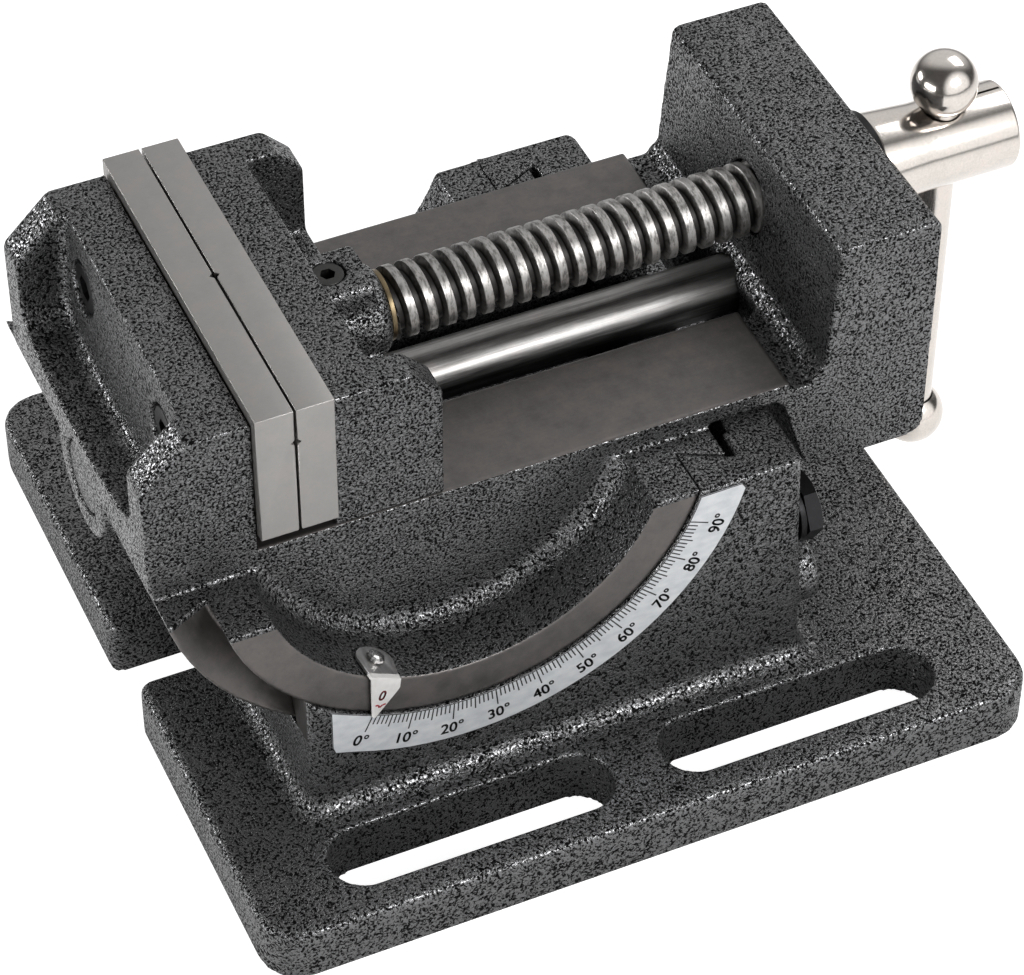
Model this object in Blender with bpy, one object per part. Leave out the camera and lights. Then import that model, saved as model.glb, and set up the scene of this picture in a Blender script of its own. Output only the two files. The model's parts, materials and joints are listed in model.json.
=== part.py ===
"""Tilting drill press vise with 100 mm jaws.

A slotted base carries a cradle. A half drum, cast in one with the vise body, swings in the
cradle's dovetail about a line across the base, so the jaws tilt from flat to upright.
Metres, +Z up. The origin is the middle of the base's underside. +X runs along the lead
screw towards its handle, and the angle scale is on the -Y side.
"""

import math

import bmesh
import bpy
from mathutils import Matrix, Vector

# Clearances and cutter lengths
FIT = 0.0003
REST_GAP = 0.0007
OVERRUN = 0.004

# Base plate
BASE_LENGTH = 0.206
BASE_WIDTH = 0.2026
BASE_THICKNESS = 0.016
BASE_CORNER = 0.0105
BASE_EDGE = 0.002
BASE_FOOT_EDGE = 0.0007
SLOT_LENGTH = 0.074
SLOT_WIDTH = 0.018
SLOT_SPACING = 0.088
SLOT_TO_EDGE = 0.0175
NOTCH_WIDTH = 0.020
NOTCH_DEPTH = 0.0235
NOTCH_CORNER = 0.006
NOTCH_MOUTH_ROUND = 0.003

# Tilt axis, which runs along Y
TILT_HEIGHT = 0.1015

# Half drum and its dovetail
DRUM_ABOVE_PLATE = 0.0122
BAND_HEIGHT = 0.0110
BAND_SETBACK = 0.0008
BAND_FILLET = 0.005
DOVETAIL_DEPTH = 0.0110
DOVETAIL_LIP = 0.0094
DOVETAIL_UNDERCUT = 0.0056

# Cradle
CRADLE_WIDTH = 0.1338
CRADLE_LEFT_REACH = 0.0417
CRADLE_END_WALL = 0.0119
CRADLE_END_DRAFT = 0.003
CRADLE_CORNER = 0.0025
CRADLE_FOOT_FILLET = 0.005
TROUGH_CLEARANCE = 0.0021
JAW_SWING_CLEARANCE = 0.0034
JAW_SWING_SIDE = 0.0030
BOSS_SWING_CLEARANCE = 0.0013
CHANNEL_CLEARANCE = 0.0020

# Lock bolts, which clamp the drum from the cradle's end
LOCK_BOLT_RADIUS = 0.005
LOCK_BOLT_BELOW_TILT = 0.0423
LOCK_BOLT_SETBACK = 0.0088
LOCK_BOLT_TIP_GAP = 0.0009
LOCK_BORE_SPARE = 0.009
LOCK_HEAD_FLATS = 0.016
LOCK_HEAD_LENGTH = 0.0042
LOCK_WASHER_RADIUS = 0.0085
LOCK_WASHER_THICKNESS = 0.0016
LUG_RADIUS = 0.009
LUG_REACH = 0.0080
LUG_DROP = 0.0222
LUG_SETBACK = 0.0096
LUG_EDGE = 0.0011

# Angle scale
SCALE_WIDTH = 0.0115
SCALE_THICKNESS = 0.0005
SCALE_END_MARGIN = 0.0014
SCALE_LEFT_MARGIN = 0.0062
SCALE_CORNER = 0.0015

# Vise body
BODY_SETBACK = 0.0194
WAY_DROP = 0.0111
SLAB_THICKNESS = 0.0052
WAY_SLOT_WIDTH = 0.0374
WAY_SLOT_DEPTH = 0.0245
WAY_SLOT_FROM_GRIP = 0.0083
WAY_RELIEF_WIDTH = 0.006
WAY_RELIEF_DEPTH = 0.0024

# Fixed jaw
GRIP_FROM_DRUM_END = 0.0378
JAW_GAP = 0.0006
JAW_PLATE_OVERHANG = 0.0025
JAW_PLATE_HEIGHT = 0.0379
JAW_PLATE_THICKNESS = 0.0094
JAW_PLATE_PROUD = 0.0027
JAW_HEIGHT = 0.0403
FIXED_JAW_DEPTH = 0.0270
FIXED_JAW_CHAMFER = 0.0120
FIXED_JAW_FOOT = 0.0013
JAW_ROUND = 0.0025
JAW_FACE_ROUND = 0.0006
POCKET_DEPTH = 0.0118
POCKET_LEAN = 0.0017
POCKET_SIDE_WALL = 0.0095
POCKET_FLOOR = 0.0085
POCKET_SAG = 0.0030
POCKET_FILLET = 0.008
POCKET_EDGE = 0.0025
GROOVE_WIDTH = 0.0020
GROOVE_DEPTH = 0.0010
GROOVE_BELOW_TOP = 0.0098

# Jaw plate screws
PLATE_SCREW_SETBACK = 0.0205
PLATE_SCREW_DROP = 0.0150
PLATE_SCREW_RADIUS = 0.004
PLATE_SCREW_BITE = 0.0066
PLATE_SCREW_HEAD_RADIUS = 0.0065
PLATE_SCREW_HEAD_LENGTH = 0.008
PLATE_SCREW_HEAD_EDGE = 0.0006
PLATE_SCREW_SINK = 0.0006
COUNTERBORE_CLEARANCE = 0.00075
PLATE_SCREW_SOCKET = 0.006
PLATE_SCREW_SOCKET_DEPTH = 0.004

# End block that carries the lead screw
BLOCK_FROM_BASE_END = 0.0374
BLOCK_FROM_CRADLE = 0.0151
BLOCK_THICKNESS = 0.0290
BLOCK_LEAN = 0.0028
BLOCK_OUTER_LEAN = 0.0009
BLOCK_HEIGHT = 0.0378
BLOCK_DROP = 0.0304
BLOCK_INSET = 0.0008
BLOCK_ROUND = 0.0025
BLOCK_FOOT_ROUND = 0.004
BLOCK_FOOT_SETBACK = 0.0036
BLOCK_NECK_SETBACK = 0.0112
BLOCK_FOOT_FILLET = 0.0032

# Lead screw, whose axis runs along X
SCREW_ABOVE_WAY = 0.0183
SCREW_RADIUS = 0.0093
SCREW_ROOT_RADIUS = 0.0070
SCREW_PITCH = 0.0049
SCREW_CREST_SHARE = 0.36
SCREW_ROOT_SHARE = 0.36
SCREW_SPARE_TURNS = 4
JOURNAL_RADIUS = 0.0063
JOURNAL_LENGTH = 0.0250
JOURNAL_GROOVE_RADIUS = 0.0045
JOURNAL_GROOVE_WIDTH = 0.005
TENON_RADIUS = 0.0066
TENON_LENGTH = 0.0160
THRUST_RING_RADIUS = 0.0089
THRUST_RING_THICKNESS = 0.0013
COLLAR_RADIUS = 0.0122
COLLAR_THICKNESS = 0.0026

# Guide rod under the lead screw
ROD_RADIUS = 0.0075
ROD_BELOW_WAY = 0.0084
ROD_EDGE = 0.0009
ROD_HEAD_RADIUS = 0.0092
ROD_HEAD_LENGTH = 0.0030
ROD_HEAD_SINK = 0.0006
ROD_HEAD_CLEARANCE = 0.0005
ROD_BOSS_RADIUS = 0.0152
ROD_BOSS_LENGTH = 0.0180

# Moving jaw
MOVING_WALL = 0.0129
MOVING_EAR_REACH = 0.0274
MOVING_EAR_THICKNESS = 0.0092
MOVING_EAR_CHAMFER = 0.0075
MOVING_FOOT_HEIGHT = 0.0130
MOVING_FILLET = 0.004
SCREW_BOSS_RADIUS = 0.0115
SCREW_BOSS_REACH = 0.0305
SCREW_BOSS_EDGE = 0.0014
PAD_WIDTH = 0.0170
PAD_ABOVE_SCREW = 0.0153
PAD_REACH = 0.0270
KEEL_SIDE_GAP = 0.0004
KEEL_LENGTH = 0.0245
KEEL_WALL = 0.0048
SET_SCREW_RADIUS = 0.004
SET_SCREW_LENGTH = 0.0075
SET_SCREW_TIP_RADIUS = 0.0021
SET_SCREW_SINK = 0.0004
SET_SCREW_SOCKET = 0.004
SET_SCREW_SOCKET_DEPTH = 0.003

# Screw head and sliding handle
HEAD_RADIUS = 0.0114
HEAD_LENGTH = 0.0395
HEAD_EDGE = 0.001
HANDLE_FROM_HEAD_END = 0.0174
HANDLE_RADIUS = 0.005
HANDLE_BALL_RADIUS = 0.00865
HANDLE_BALL_SPAN = 0.1122
BALL_SOCKET_PAST_MIDDLE = 0.001

# Pointer, whose tip reads the scale
POINTER_ANGLE = -26.3
POINTER_TIP_ANGLE = -24.1
POINTER_THICKNESS = 0.0008
POINTER_WIDTH = 0.0084
POINTER_TAB_LENGTH = 0.0095
POINTER_SHOULDER_DROP = 0.0028
POINTER_SHOULDER_SPREAD = 0.0010
POINTER_TIP_GAP = 0.0004
POINTER_TIP_WIDTH = 0.0008
RIVET_RADIUS = 0.0013
RIVET_HEAD_RADIUS = 0.0024
RIVET_HEAD_HEIGHT = 0.0012
RIVET_DEPTH = 0.004
RIVET_DOME_SHARES = (0, 0.4, 0.75, 0.93)

# Facets
ROUND_STEPS = 28
SMALL_STEPS = 18
RIVET_STEPS = 12
THREAD_STEPS = 18
DRUM_STEPS = 72
BALL_RINGS = 9
ARC_STEPS = 4

# Sizes and places that follow from the values above
DRUM_WIDTH = CRADLE_WIDTH - 2 * BAND_SETBACK
DOVETAIL_WIDTH = CRADLE_WIDTH - 2 * DOVETAIL_LIP
DOVETAIL_NECK = DOVETAIL_WIDTH - 2 * DOVETAIL_UNDERCUT
BODY_WIDTH = CRADLE_WIDTH - 2 * BODY_SETBACK
JAW_PLATE_LENGTH = BODY_WIDTH + 2 * JAW_PLATE_OVERHANG
POCKET_WIDTH = BODY_WIDTH - 2 * POCKET_SIDE_WALL
PLATE_SCREW_SPACING = BODY_WIDTH - 2 * PLATE_SCREW_SETBACK
KEEL_WIDTH = WAY_SLOT_WIDTH - 2 * KEEL_SIDE_GAP
DRUM_RADIUS = TILT_HEIGHT - BASE_THICKNESS - DRUM_ABOVE_PLATE
BAND_RADIUS = DRUM_RADIUS - DOVETAIL_DEPTH
BAND_INNER_RADIUS = BAND_RADIUS - BAND_HEIGHT
TROUGH_RADIUS = DRUM_RADIUS + TROUGH_CLEARANCE
BLOCK_INNER_X = BASE_LENGTH / 2 - BLOCK_FROM_BASE_END
CRADLE_RIGHT = BLOCK_INNER_X - BLOCK_FROM_CRADLE
TILT_X = CRADLE_RIGHT - CRADLE_END_WALL - TROUGH_RADIUS
GRIP_X = TILT_X - DRUM_RADIUS + GRIP_FROM_DRUM_END
LOCK_BOLT_HEIGHT = TILT_HEIGHT - LOCK_BOLT_BELOW_TILT
WAY_Z = TILT_HEIGHT - WAY_DROP
SLAB_Z = WAY_Z - SLAB_THICKNESS
CRADLE_TOP = SLAB_Z - REST_GAP
SCREW_Z = WAY_Z + SCREW_ABOVE_WAY
ROD_Z = WAY_Z - ROD_BELOW_WAY
KEEL_LOW_Z = ROD_Z - ROD_RADIUS - KEEL_WALL
JAW_TOP = WAY_Z + JAW_HEIGHT
PLATE_TOP = JAW_TOP + JAW_PLATE_PROUD
PLATE_SCREW_Z = JAW_TOP - PLATE_SCREW_DROP
LIP_RADIUS = BAND_RADIUS + FIT
FIXED_FACE_X = GRIP_X - JAW_PLATE_THICKNESS - FIT
BODY_LEFT = FIXED_FACE_X - FIXED_JAW_DEPTH
POCKET_FLOOR_Z = WAY_Z + POCKET_FLOOR
POCKET_SCREW_SHARE = (PLATE_SCREW_Z - POCKET_FLOOR_Z) / (JAW_TOP - POCKET_FLOOR_Z)
POCKET_SCREW_X = BODY_LEFT + POCKET_DEPTH + POCKET_LEAN * POCKET_SCREW_SHARE
MOVING_GRIP_X = GRIP_X + JAW_GAP
MOVING_FACE_X = MOVING_GRIP_X + JAW_PLATE_THICKNESS + FIT
CRADLE_LEFT = TILT_X - CRADLE_LEFT_REACH
LOCK_SEAT_SHARE = ((CRADLE_TOP - LOCK_BOLT_HEIGHT - LOCK_WASHER_RADIUS)
                   / (CRADLE_TOP - BASE_THICKNESS))
LOCK_SEAT_X = CRADLE_RIGHT + CRADLE_END_DRAFT * LOCK_SEAT_SHARE
BLOCK_OUTER_X = BLOCK_INNER_X + BLOCK_THICKNESS
SCREW_BOSS_END = MOVING_FACE_X + SCREW_BOSS_REACH
THREAD_START = SCREW_BOSS_END + THRUST_RING_THICKNESS + FIT + FIT
THREAD_END = BLOCK_OUTER_X + FIT
COLLAR_START = BLOCK_OUTER_X + BLOCK_OUTER_LEAN + FIT
HEAD_START = COLLAR_START + COLLAR_THICKNESS + FIT
HEAD_END = HEAD_START + HEAD_LENGTH
HANDLE_X = HEAD_END - HANDLE_FROM_HEAD_END
HANDLE_BORE_RADIUS = HANDLE_RADIUS + FIT
BALL_MOUTH = math.sqrt(HANDLE_BALL_RADIUS ** 2 - HANDLE_BORE_RADIUS ** 2)
BALL_TOP_Z = SCREW_Z + HEAD_RADIUS + BALL_MOUTH + FIT
BALL_BOTTOM_Z = BALL_TOP_Z - HANDLE_BALL_SPAN


def clear_scene():
    for item in list(bpy.data.objects):
        bpy.data.objects.remove(item, do_unlink=True)


def material(name, colour, roughness, metallic):
    """A plain Principled material."""
    finish = bpy.data.materials.new(name)
    finish.use_nodes = True
    shader = finish.node_tree.nodes["Principled BSDF"]
    shader.inputs["Base Color"].default_value = (*colour, 1)
    shader.inputs["Roughness"].default_value = roughness
    shader.inputs["Metallic"].default_value = metallic
    return finish


def arc(centre, radius, start, end, steps):
    """Points of an arc, angles in degrees."""
    points = []
    for step in range(steps + 1):
        angle = math.radians(start + (end - start) * step / steps)
        points.append((centre[0] + radius * math.cos(angle), centre[1] + radius * math.sin(angle)))
    return points


def rounded(corners, steps=ARC_STEPS):
    """An outline whose corners, given as (a, b, radius), are rounded."""
    outline = []
    count = len(corners)
    for index, (a, b, radius) in enumerate(corners):
        here = Vector((a, b))
        if radius == 0:
            outline.append((a, b))
            continue
        before = Vector(corners[index - 1][:2]) - here
        after = Vector(corners[(index + 1) % count][:2]) - here
        half = before.angle(after) / 2
        reach = radius / math.tan(half)
        bisector = (before.normalized() + after.normalized()).normalized()
        centre = here + bisector * (radius / math.sin(half))
        first = here + before.normalized() * reach - centre
        last = here + after.normalized() * reach - centre
        sweep = first.angle_signed(last)
        for step in range(steps + 1):
            turn = Matrix.Rotation(-sweep * step / steps, 2)
            point = centre + turn @ first
            outline.append((point.x, point.y))
    return outline


def rounded_rectangle(length, width, radius, steps=ARC_STEPS):
    x, y = length / 2, width / 2
    return rounded([(-x, -y, radius), (x, -y, radius), (x, y, radius), (-x, y, radius)], steps)


def in_space(axis, a, b, along):
    """A point of an outline drawn across an axis: YZ across X, XZ across Y, XY across Z."""
    if axis == "X":
        return Vector((along, a, b))
    if axis == "Y":
        return Vector((a, along, b))
    return Vector((a, b, along))


def make_object(name, mesh_builder, finish):
    """Turn a bmesh into a named object with its faces outward."""
    bmesh.ops.recalc_face_normals(mesh_builder, faces=mesh_builder.faces)
    mesh = bpy.data.meshes.new(name)
    mesh_builder.to_mesh(mesh)
    mesh_builder.free()
    mesh.shade_smooth()
    mesh.set_sharp_from_angle(angle=math.radians(30))
    item = bpy.data.objects.new(name, mesh)
    bpy.context.scene.collection.objects.link(item)
    if finish is not None:
        mesh.materials.append(finish)
    return item


def loft(name, loops, finish=None):
    """A closed solid through loops of equal length, capped at both ends."""
    builder = bmesh.new()
    rows = [[builder.verts.new(point) for point in loop] for loop in loops]
    count = len(loops[0])
    for low, high in zip(rows, rows[1:]):
        for index in range(count):
            after = (index + 1) % count
            builder.faces.new((low[index], low[after], high[after], high[index]))
    builder.faces.new(list(reversed(rows[0])))
    builder.faces.new(rows[-1])
    return make_object(name, builder, finish)


def prism(name, outline, axis, low, high, finish=None):
    """An outline extruded along an axis."""
    loops = [[in_space(axis, a, b, along) for a, b in outline] for along in (low, high)]
    return loft(name, loops, finish)


def turned(name, profile, axis, centre, finish=None, steps=ROUND_STEPS):
    """A profile of (along, radius) turned round an axis through centre.

    A profile that starts and ends on the axis gives a solid of revolution, any other a ring.
    """
    builder = bmesh.new()
    solid = profile[0][1] == 0
    rows = []
    for along, radius in profile:
        if radius == 0:
            rows.append([builder.verts.new(in_space(axis, 0, 0, along))])
            continue
        ring = arc((0, 0), radius, 0, 360, steps)[:-1]
        rows.append([builder.verts.new(in_space(axis, a, b, along)) for a, b in ring])
    pairs = list(zip(rows, rows[1:]))
    if not solid:
        pairs.append((rows[-1], rows[0]))
    for first, second in pairs:
        for index in range(steps):
            after = (index + 1) % steps
            if len(first) == 1:
                builder.faces.new((first[0], second[after], second[index]))
            elif len(second) == 1:
                builder.faces.new((first[index], first[after], second[0]))
            else:
                builder.faces.new((first[index], first[after], second[after], second[index]))
    item = make_object(name, builder, finish)
    item.location = centre
    return item


def rod(name, radius, axis, centre, low, high, finish=None, steps=ROUND_STEPS):
    """A plain round bar from low to high along an axis."""
    profile = [(low, 0), (low, radius), (high, radius), (high, 0)]
    return turned(name, profile, axis, centre, finish, steps)


def box(name, low, high, finish=None):
    outline = [(low[0], low[1]), (high[0], low[1]), (high[0], high[1]), (low[0], high[1])]
    return prism(name, outline, "Z", low[2], high[2], finish)


def hexagon(flats):
    """A hexagon's outline, given the distance across its flats."""
    return arc((0, 0), flats / math.sqrt(3), 0, 360, 6)[:-1]


def combine(target, tools, operation):
    """Join helper solids to target, or cut them away, all at once, and hide the helpers."""
    group = bpy.data.collections.new(f"{target.name}_{operation.lower()}")
    for tool in tools:
        group.objects.link(tool)
        tool.hide_render = True
        tool.display_type = "WIRE"
    change = target.modifiers.new(group.name, "BOOLEAN")
    change.operation = operation
    change.solver = "EXACT"
    change.operand_type = "COLLECTION"
    change.collection = group


def cut(target, *tools):
    combine(target, tools, "DIFFERENCE")


def join(target, *tools):
    combine(target, tools, "UNION")


def empty(name, location):
    """A joint's own frame."""
    pivot = bpy.data.objects.new(name, None)
    pivot.location = location
    bpy.context.scene.collection.objects.link(pivot)
    return pivot


def hang(parent, *children):
    """Parent pieces to a joint's frame and keep them where they are."""
    for child in children:
        child.parent = parent
        child.matrix_parent_inverse = Matrix.Translation(parent.location).inverted()


# Base

def base_plate(finish):
    """Plate with rounded corners and rounded top edges."""
    levels = [(0, BASE_FOOT_EDGE), (BASE_FOOT_EDGE, 0), (BASE_THICKNESS - BASE_EDGE, 0)]
    for height, inset in arc((0, 0), BASE_EDGE, 0, 90, 3)[1:]:
        levels.append((BASE_THICKNESS - BASE_EDGE + inset, BASE_EDGE - height))
    loops = []
    for height, inset in levels:
        outline = rounded_rectangle(BASE_LENGTH - 2 * inset, BASE_WIDTH - 2 * inset,
                                    BASE_CORNER - inset, ARC_STEPS)
        loops.append([Vector((x, y, height)) for x, y in outline])
    return loft("base_casting", loops, finish)


def cradle_block():
    """The cradle's block with a hollow fillet at its foot. Its end towards the handle has draft."""
    levels = [(BASE_THICKNESS / 2, CRADLE_FOOT_FILLET)]
    for side, height in arc((0, 0), CRADLE_FOOT_FILLET, 270, 180, ARC_STEPS):
        levels.append((BASE_THICKNESS + CRADLE_FOOT_FILLET + height, CRADLE_FOOT_FILLET + side))
    levels.append((CRADLE_TOP, 0))
    loops = []
    for height, spread in levels:
        drop_share = (CRADLE_TOP - height) / (CRADLE_TOP - BASE_THICKNESS)
        left = CRADLE_LEFT - spread
        right = CRADLE_RIGHT + CRADLE_END_DRAFT * drop_share + spread
        half = CRADLE_WIDTH / 2 + spread
        corner = CRADLE_CORNER + spread
        outline = rounded([(left, -half, corner), (right, -half, corner), (right, half, corner),
                           (left, half, corner)])
        loops.append([Vector((x, y, height)) for x, y in outline])
    return loft("cradle_block", loops)


def cradle_bore():
    """What the drum and the swinging fixed jaw need: the lips' bore, the dovetail and the trough."""
    slope = (DOVETAIL_WIDTH - DOVETAIL_NECK) / 2 / (DRUM_RADIUS - BAND_RADIUS)
    side_gap = FIT * math.hypot(1, slope)
    neck = DOVETAIL_NECK / 2 + side_gap + slope * FIT
    wide = neck + slope * (TROUGH_RADIUS - LIP_RADIUS)
    past = CRADLE_WIDTH / 2 + OVERRUN
    swing_side = BODY_WIDTH / 2 + JAW_SWING_SIDE
    corner_radius = math.hypot(TILT_X - BODY_LEFT, TILT_HEIGHT - SLAB_Z)
    swing_radius = corner_radius + JAW_SWING_CLEARANCE
    half = [(swing_side, swing_radius), (swing_side, TROUGH_RADIUS), (wide, TROUGH_RADIUS),
            (neck, LIP_RADIUS), (past, LIP_RADIUS), (past, 0)]
    profile = [(-along, radius) for along, radius in reversed(half)] + half
    return turned("cradle_bore", profile, "Y", (TILT_X, 0, TILT_HEIGHT), None, DRUM_STEPS)


def boss_channel():
    """A deeper channel for the guide rod's boss, which swings lower than the jaw."""
    reach = math.hypot(BODY_LEFT - TILT_X, TILT_HEIGHT - ROD_Z + ROD_BOSS_RADIUS)
    half_width = ROD_BOSS_RADIUS + JAW_SWING_SIDE
    return rod("boss_channel", reach + BOSS_SWING_CLEARANCE, "Y", (TILT_X, 0, TILT_HEIGHT),
               -half_width, half_width, None, DRUM_STEPS)


def end_channel():
    """A way through the top of the end wall for the guide rod and the moving jaw's keel."""
    half = KEEL_WIDTH / 2 + CHANNEL_CLEARANCE
    low = KEEL_LOW_Z - CHANNEL_CLEARANCE
    top = CRADLE_TOP + OVERRUN
    corner = CRADLE_FOOT_FILLET
    outline = rounded([(-half, low, corner), (half, low, corner), (half, top, 0), (-half, top, 0)])
    return prism("end_channel", outline, "X", TILT_X, CRADLE_RIGHT + OVERRUN)


def base_slots():
    """Two slots in each long side of the plate, for bolts to a machine's table."""
    slots = []
    x = SLOT_SPACING / 2
    y = BASE_WIDTH / 2 - SLOT_TO_EDGE
    outline = rounded_rectangle(SLOT_LENGTH, SLOT_WIDTH, SLOT_WIDTH / 2 - FIT, 6)
    for index, (side_x, side_y) in enumerate([(-x, -y), (x, -y), (-x, y), (x, y)]):
        moved = [(side_x + a, side_y + b) for a, b in outline]
        slots.append(prism(f"slot_{index}", moved, "Z", -OVERRUN, BASE_THICKNESS + OVERRUN))
    return slots


def base_notch():
    """An open slot in the left edge, with a rounded mouth."""
    left = -BASE_LENGTH / 2
    half = NOTCH_WIDTH / 2
    flare = NOTCH_MOUTH_ROUND
    corner = NOTCH_CORNER
    right = left + NOTCH_DEPTH
    mouth = left - OVERRUN
    outline = [(mouth, -half - flare), (left, -half - flare)]
    outline += arc((left + flare, -half - flare), flare, 180, 90, ARC_STEPS)[1:]
    outline += arc((right - corner, -half + corner), corner, 270, 360, ARC_STEPS)
    outline += arc((right - corner, half - corner), corner, 0, 90, ARC_STEPS)
    outline += arc((left + flare, half + flare), flare, 270, 180, ARC_STEPS)
    outline += [(mouth, half + flare)]
    top = BASE_THICKNESS + CRADLE_FOOT_FILLET + OVERRUN
    return prism("notch", outline, "Z", -OVERRUN, top)


def lock_side(side):
    """Distance of a lock bolt's axis from the middle plane."""
    return side * (CRADLE_WIDTH / 2 - LOCK_BOLT_SETBACK)


def lock_tip_x():
    """Where the bolt's tip stops, just short of the drum."""
    top = TILT_HEIGHT - LOCK_BOLT_HEIGHT - LOCK_BOLT_RADIUS
    return TILT_X + math.sqrt(DRUM_RADIUS ** 2 - top ** 2) + LOCK_BOLT_TIP_GAP


def base_casting(finish):
    base = base_plate(finish)
    added = [cradle_block()]
    removed = [cradle_bore(), boss_channel(), end_channel(), base_notch(), *base_slots()]
    low = lock_tip_x() - LOCK_BORE_SPARE
    seat_radius = LOCK_WASHER_RADIUS + COUNTERBORE_CLEARANCE
    past = CRADLE_RIGHT + CRADLE_END_DRAFT + OVERRUN
    for side in (-1, 1):
        lug_y = side * (CRADLE_WIDTH / 2 - LUG_SETBACK)
        centre = (0, lug_y, LOCK_BOLT_HEIGHT - LUG_DROP)
        profile = [(CRADLE_RIGHT - LUG_REACH, 0), (CRADLE_RIGHT - LUG_REACH, LUG_RADIUS),
                   (CRADLE_RIGHT + LUG_REACH - LUG_EDGE, LUG_RADIUS),
                   (CRADLE_RIGHT + LUG_REACH, LUG_RADIUS - LUG_EDGE), (CRADLE_RIGHT + LUG_REACH, 0)]
        added.append(turned(f"lug_{side}", profile, "X", centre, None, SMALL_STEPS))
        centre = (0, lock_side(side), LOCK_BOLT_HEIGHT)
        bore = [(low, 0), (low, LOCK_BOLT_RADIUS + FIT), (LOCK_SEAT_X, LOCK_BOLT_RADIUS + FIT),
                (LOCK_SEAT_X, seat_radius), (past, seat_radius), (past, 0)]
        removed.append(turned(f"lock_bore_{side}", bore, "X", centre, None, SMALL_STEPS))
    join(base, *added)
    cut(base, *removed)
    return base


def lock_bolt(side, name, finish):
    """Hex bolt along X, with its origin on its own axis."""
    seat = LOCK_SEAT_X + FIT + LOCK_WASHER_THICKNESS + FIT
    centre = (seat, lock_side(side), LOCK_BOLT_HEIGHT)
    bolt = prism(name, hexagon(LOCK_HEAD_FLATS), "X", 0, LOCK_HEAD_LENGTH, finish)
    bolt.location = centre
    join(bolt, rod(f"{name}_shank", LOCK_BOLT_RADIUS, "X", centre, lock_tip_x() - seat,
                   LOCK_HEAD_LENGTH / 2, None, SMALL_STEPS))
    return bolt


def lock_washer(side, name, finish):
    low = LOCK_SEAT_X + FIT
    high = low + LOCK_WASHER_THICKNESS
    inner = LOCK_BOLT_RADIUS + FIT
    profile = [(low, inner), (low, LOCK_WASHER_RADIUS), (high, LOCK_WASHER_RADIUS), (high, inner)]
    return turned(name, profile, "X", (0, lock_side(side), LOCK_BOLT_HEIGHT), finish, SMALL_STEPS)


def angle_scale(finish):
    """Curved label plate under the drum's band, cut off level with the cradle's top and left end."""
    inner = LIP_RADIUS + POINTER_TIP_GAP
    outer = inner + SCALE_WIDTH
    left = CRADLE_LEFT + SCALE_LEFT_MARGIN - TILT_X
    top = CRADLE_TOP - SCALE_END_MARGIN - TILT_HEIGHT
    inner_start = math.degrees(math.acos(left / inner))
    inner_end = math.degrees(math.asin(top / inner))
    outer_start = math.degrees(math.acos(left / outer))
    outer_end = math.degrees(math.asin(top / outer))
    clip = math.degrees(SCALE_CORNER / outer)
    outline = arc((TILT_X, TILT_HEIGHT), outer, -outer_start + clip, outer_end - clip, 28)
    outline += arc((TILT_X, TILT_HEIGHT), outer - SCALE_CORNER, outer_end, outer_end, 1)[:1]
    outline += arc((TILT_X, TILT_HEIGHT), inner, inner_end, -inner_start, 26)
    outline += arc((TILT_X, TILT_HEIGHT), outer - SCALE_CORNER, -outer_start, -outer_start, 1)[:1]
    back = -CRADLE_WIDTH / 2 - FIT
    return prism("angle_scale", outline, "Y", back - SCALE_THICKNESS, back, finish)


# Vise body

def body_outline():
    """Side view of the casting above the drum: fixed jaw, ways and end block."""
    relief_start = BLOCK_INNER_X - WAY_RELIEF_WIDTH - BLOCK_FOOT_FILLET
    relief_end = BLOCK_INNER_X - BLOCK_FOOT_FILLET
    relief_z = WAY_Z - WAY_RELIEF_DEPTH
    block_top = WAY_Z + BLOCK_HEIGHT
    block_bottom = WAY_Z - BLOCK_DROP
    outer_x = BLOCK_OUTER_X + BLOCK_OUTER_LEAN
    foot_x = BLOCK_INNER_X - BLOCK_FOOT_SETBACK
    neck_x = BLOCK_INNER_X - BLOCK_NECK_SETBACK
    return rounded([
        (BODY_LEFT, SLAB_Z + FIXED_JAW_FOOT, JAW_ROUND / 2),
        (BODY_LEFT, JAW_TOP - FIXED_JAW_CHAMFER, JAW_ROUND),
        (BODY_LEFT + FIXED_JAW_CHAMFER, JAW_TOP, JAW_ROUND),
        (FIXED_FACE_X, JAW_TOP, JAW_FACE_ROUND),
        (FIXED_FACE_X, WAY_Z, 0),
        (relief_start, WAY_Z, 0),
        (relief_start, relief_z, 0),
        (relief_end, relief_z, 0),
        (relief_end + BLOCK_FOOT_FILLET / 2, WAY_Z, 0),
        (BLOCK_INNER_X, WAY_Z + BLOCK_FOOT_FILLET / 2, 0),
        (BLOCK_INNER_X + BLOCK_LEAN, block_top, BLOCK_ROUND),
        (outer_x, block_top, BLOCK_ROUND),
        (BLOCK_OUTER_X, block_bottom, BLOCK_FOOT_ROUND),
        (foot_x, block_bottom, BLOCK_FOOT_ROUND),
        (neck_x, SLAB_Z, BLOCK_FOOT_FILLET),
        (BODY_LEFT + FIXED_JAW_FOOT, SLAB_Z, 0),
    ])


def drum():
    """Turned drum: the dovetail, the machined band and the recessed face within it."""
    half_width = DRUM_WIDTH / 2
    face = BODY_WIDTH / 2
    fillet = arc((face + BAND_FILLET, BAND_INNER_RADIUS - BAND_FILLET), BAND_FILLET, 180, 90, ARC_STEPS)
    half = [(DOVETAIL_WIDTH / 2, DRUM_RADIUS), (DOVETAIL_NECK / 2, BAND_RADIUS),
            (half_width, BAND_RADIUS), (half_width, BAND_INNER_RADIUS)]
    half += list(reversed(fillet)) + [(face, 0)]
    profile = [(-along, radius) for along, radius in reversed(half)] + half
    return turned("drum", profile, "Y", (TILT_X, 0, TILT_HEIGHT), None, DRUM_STEPS)


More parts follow.
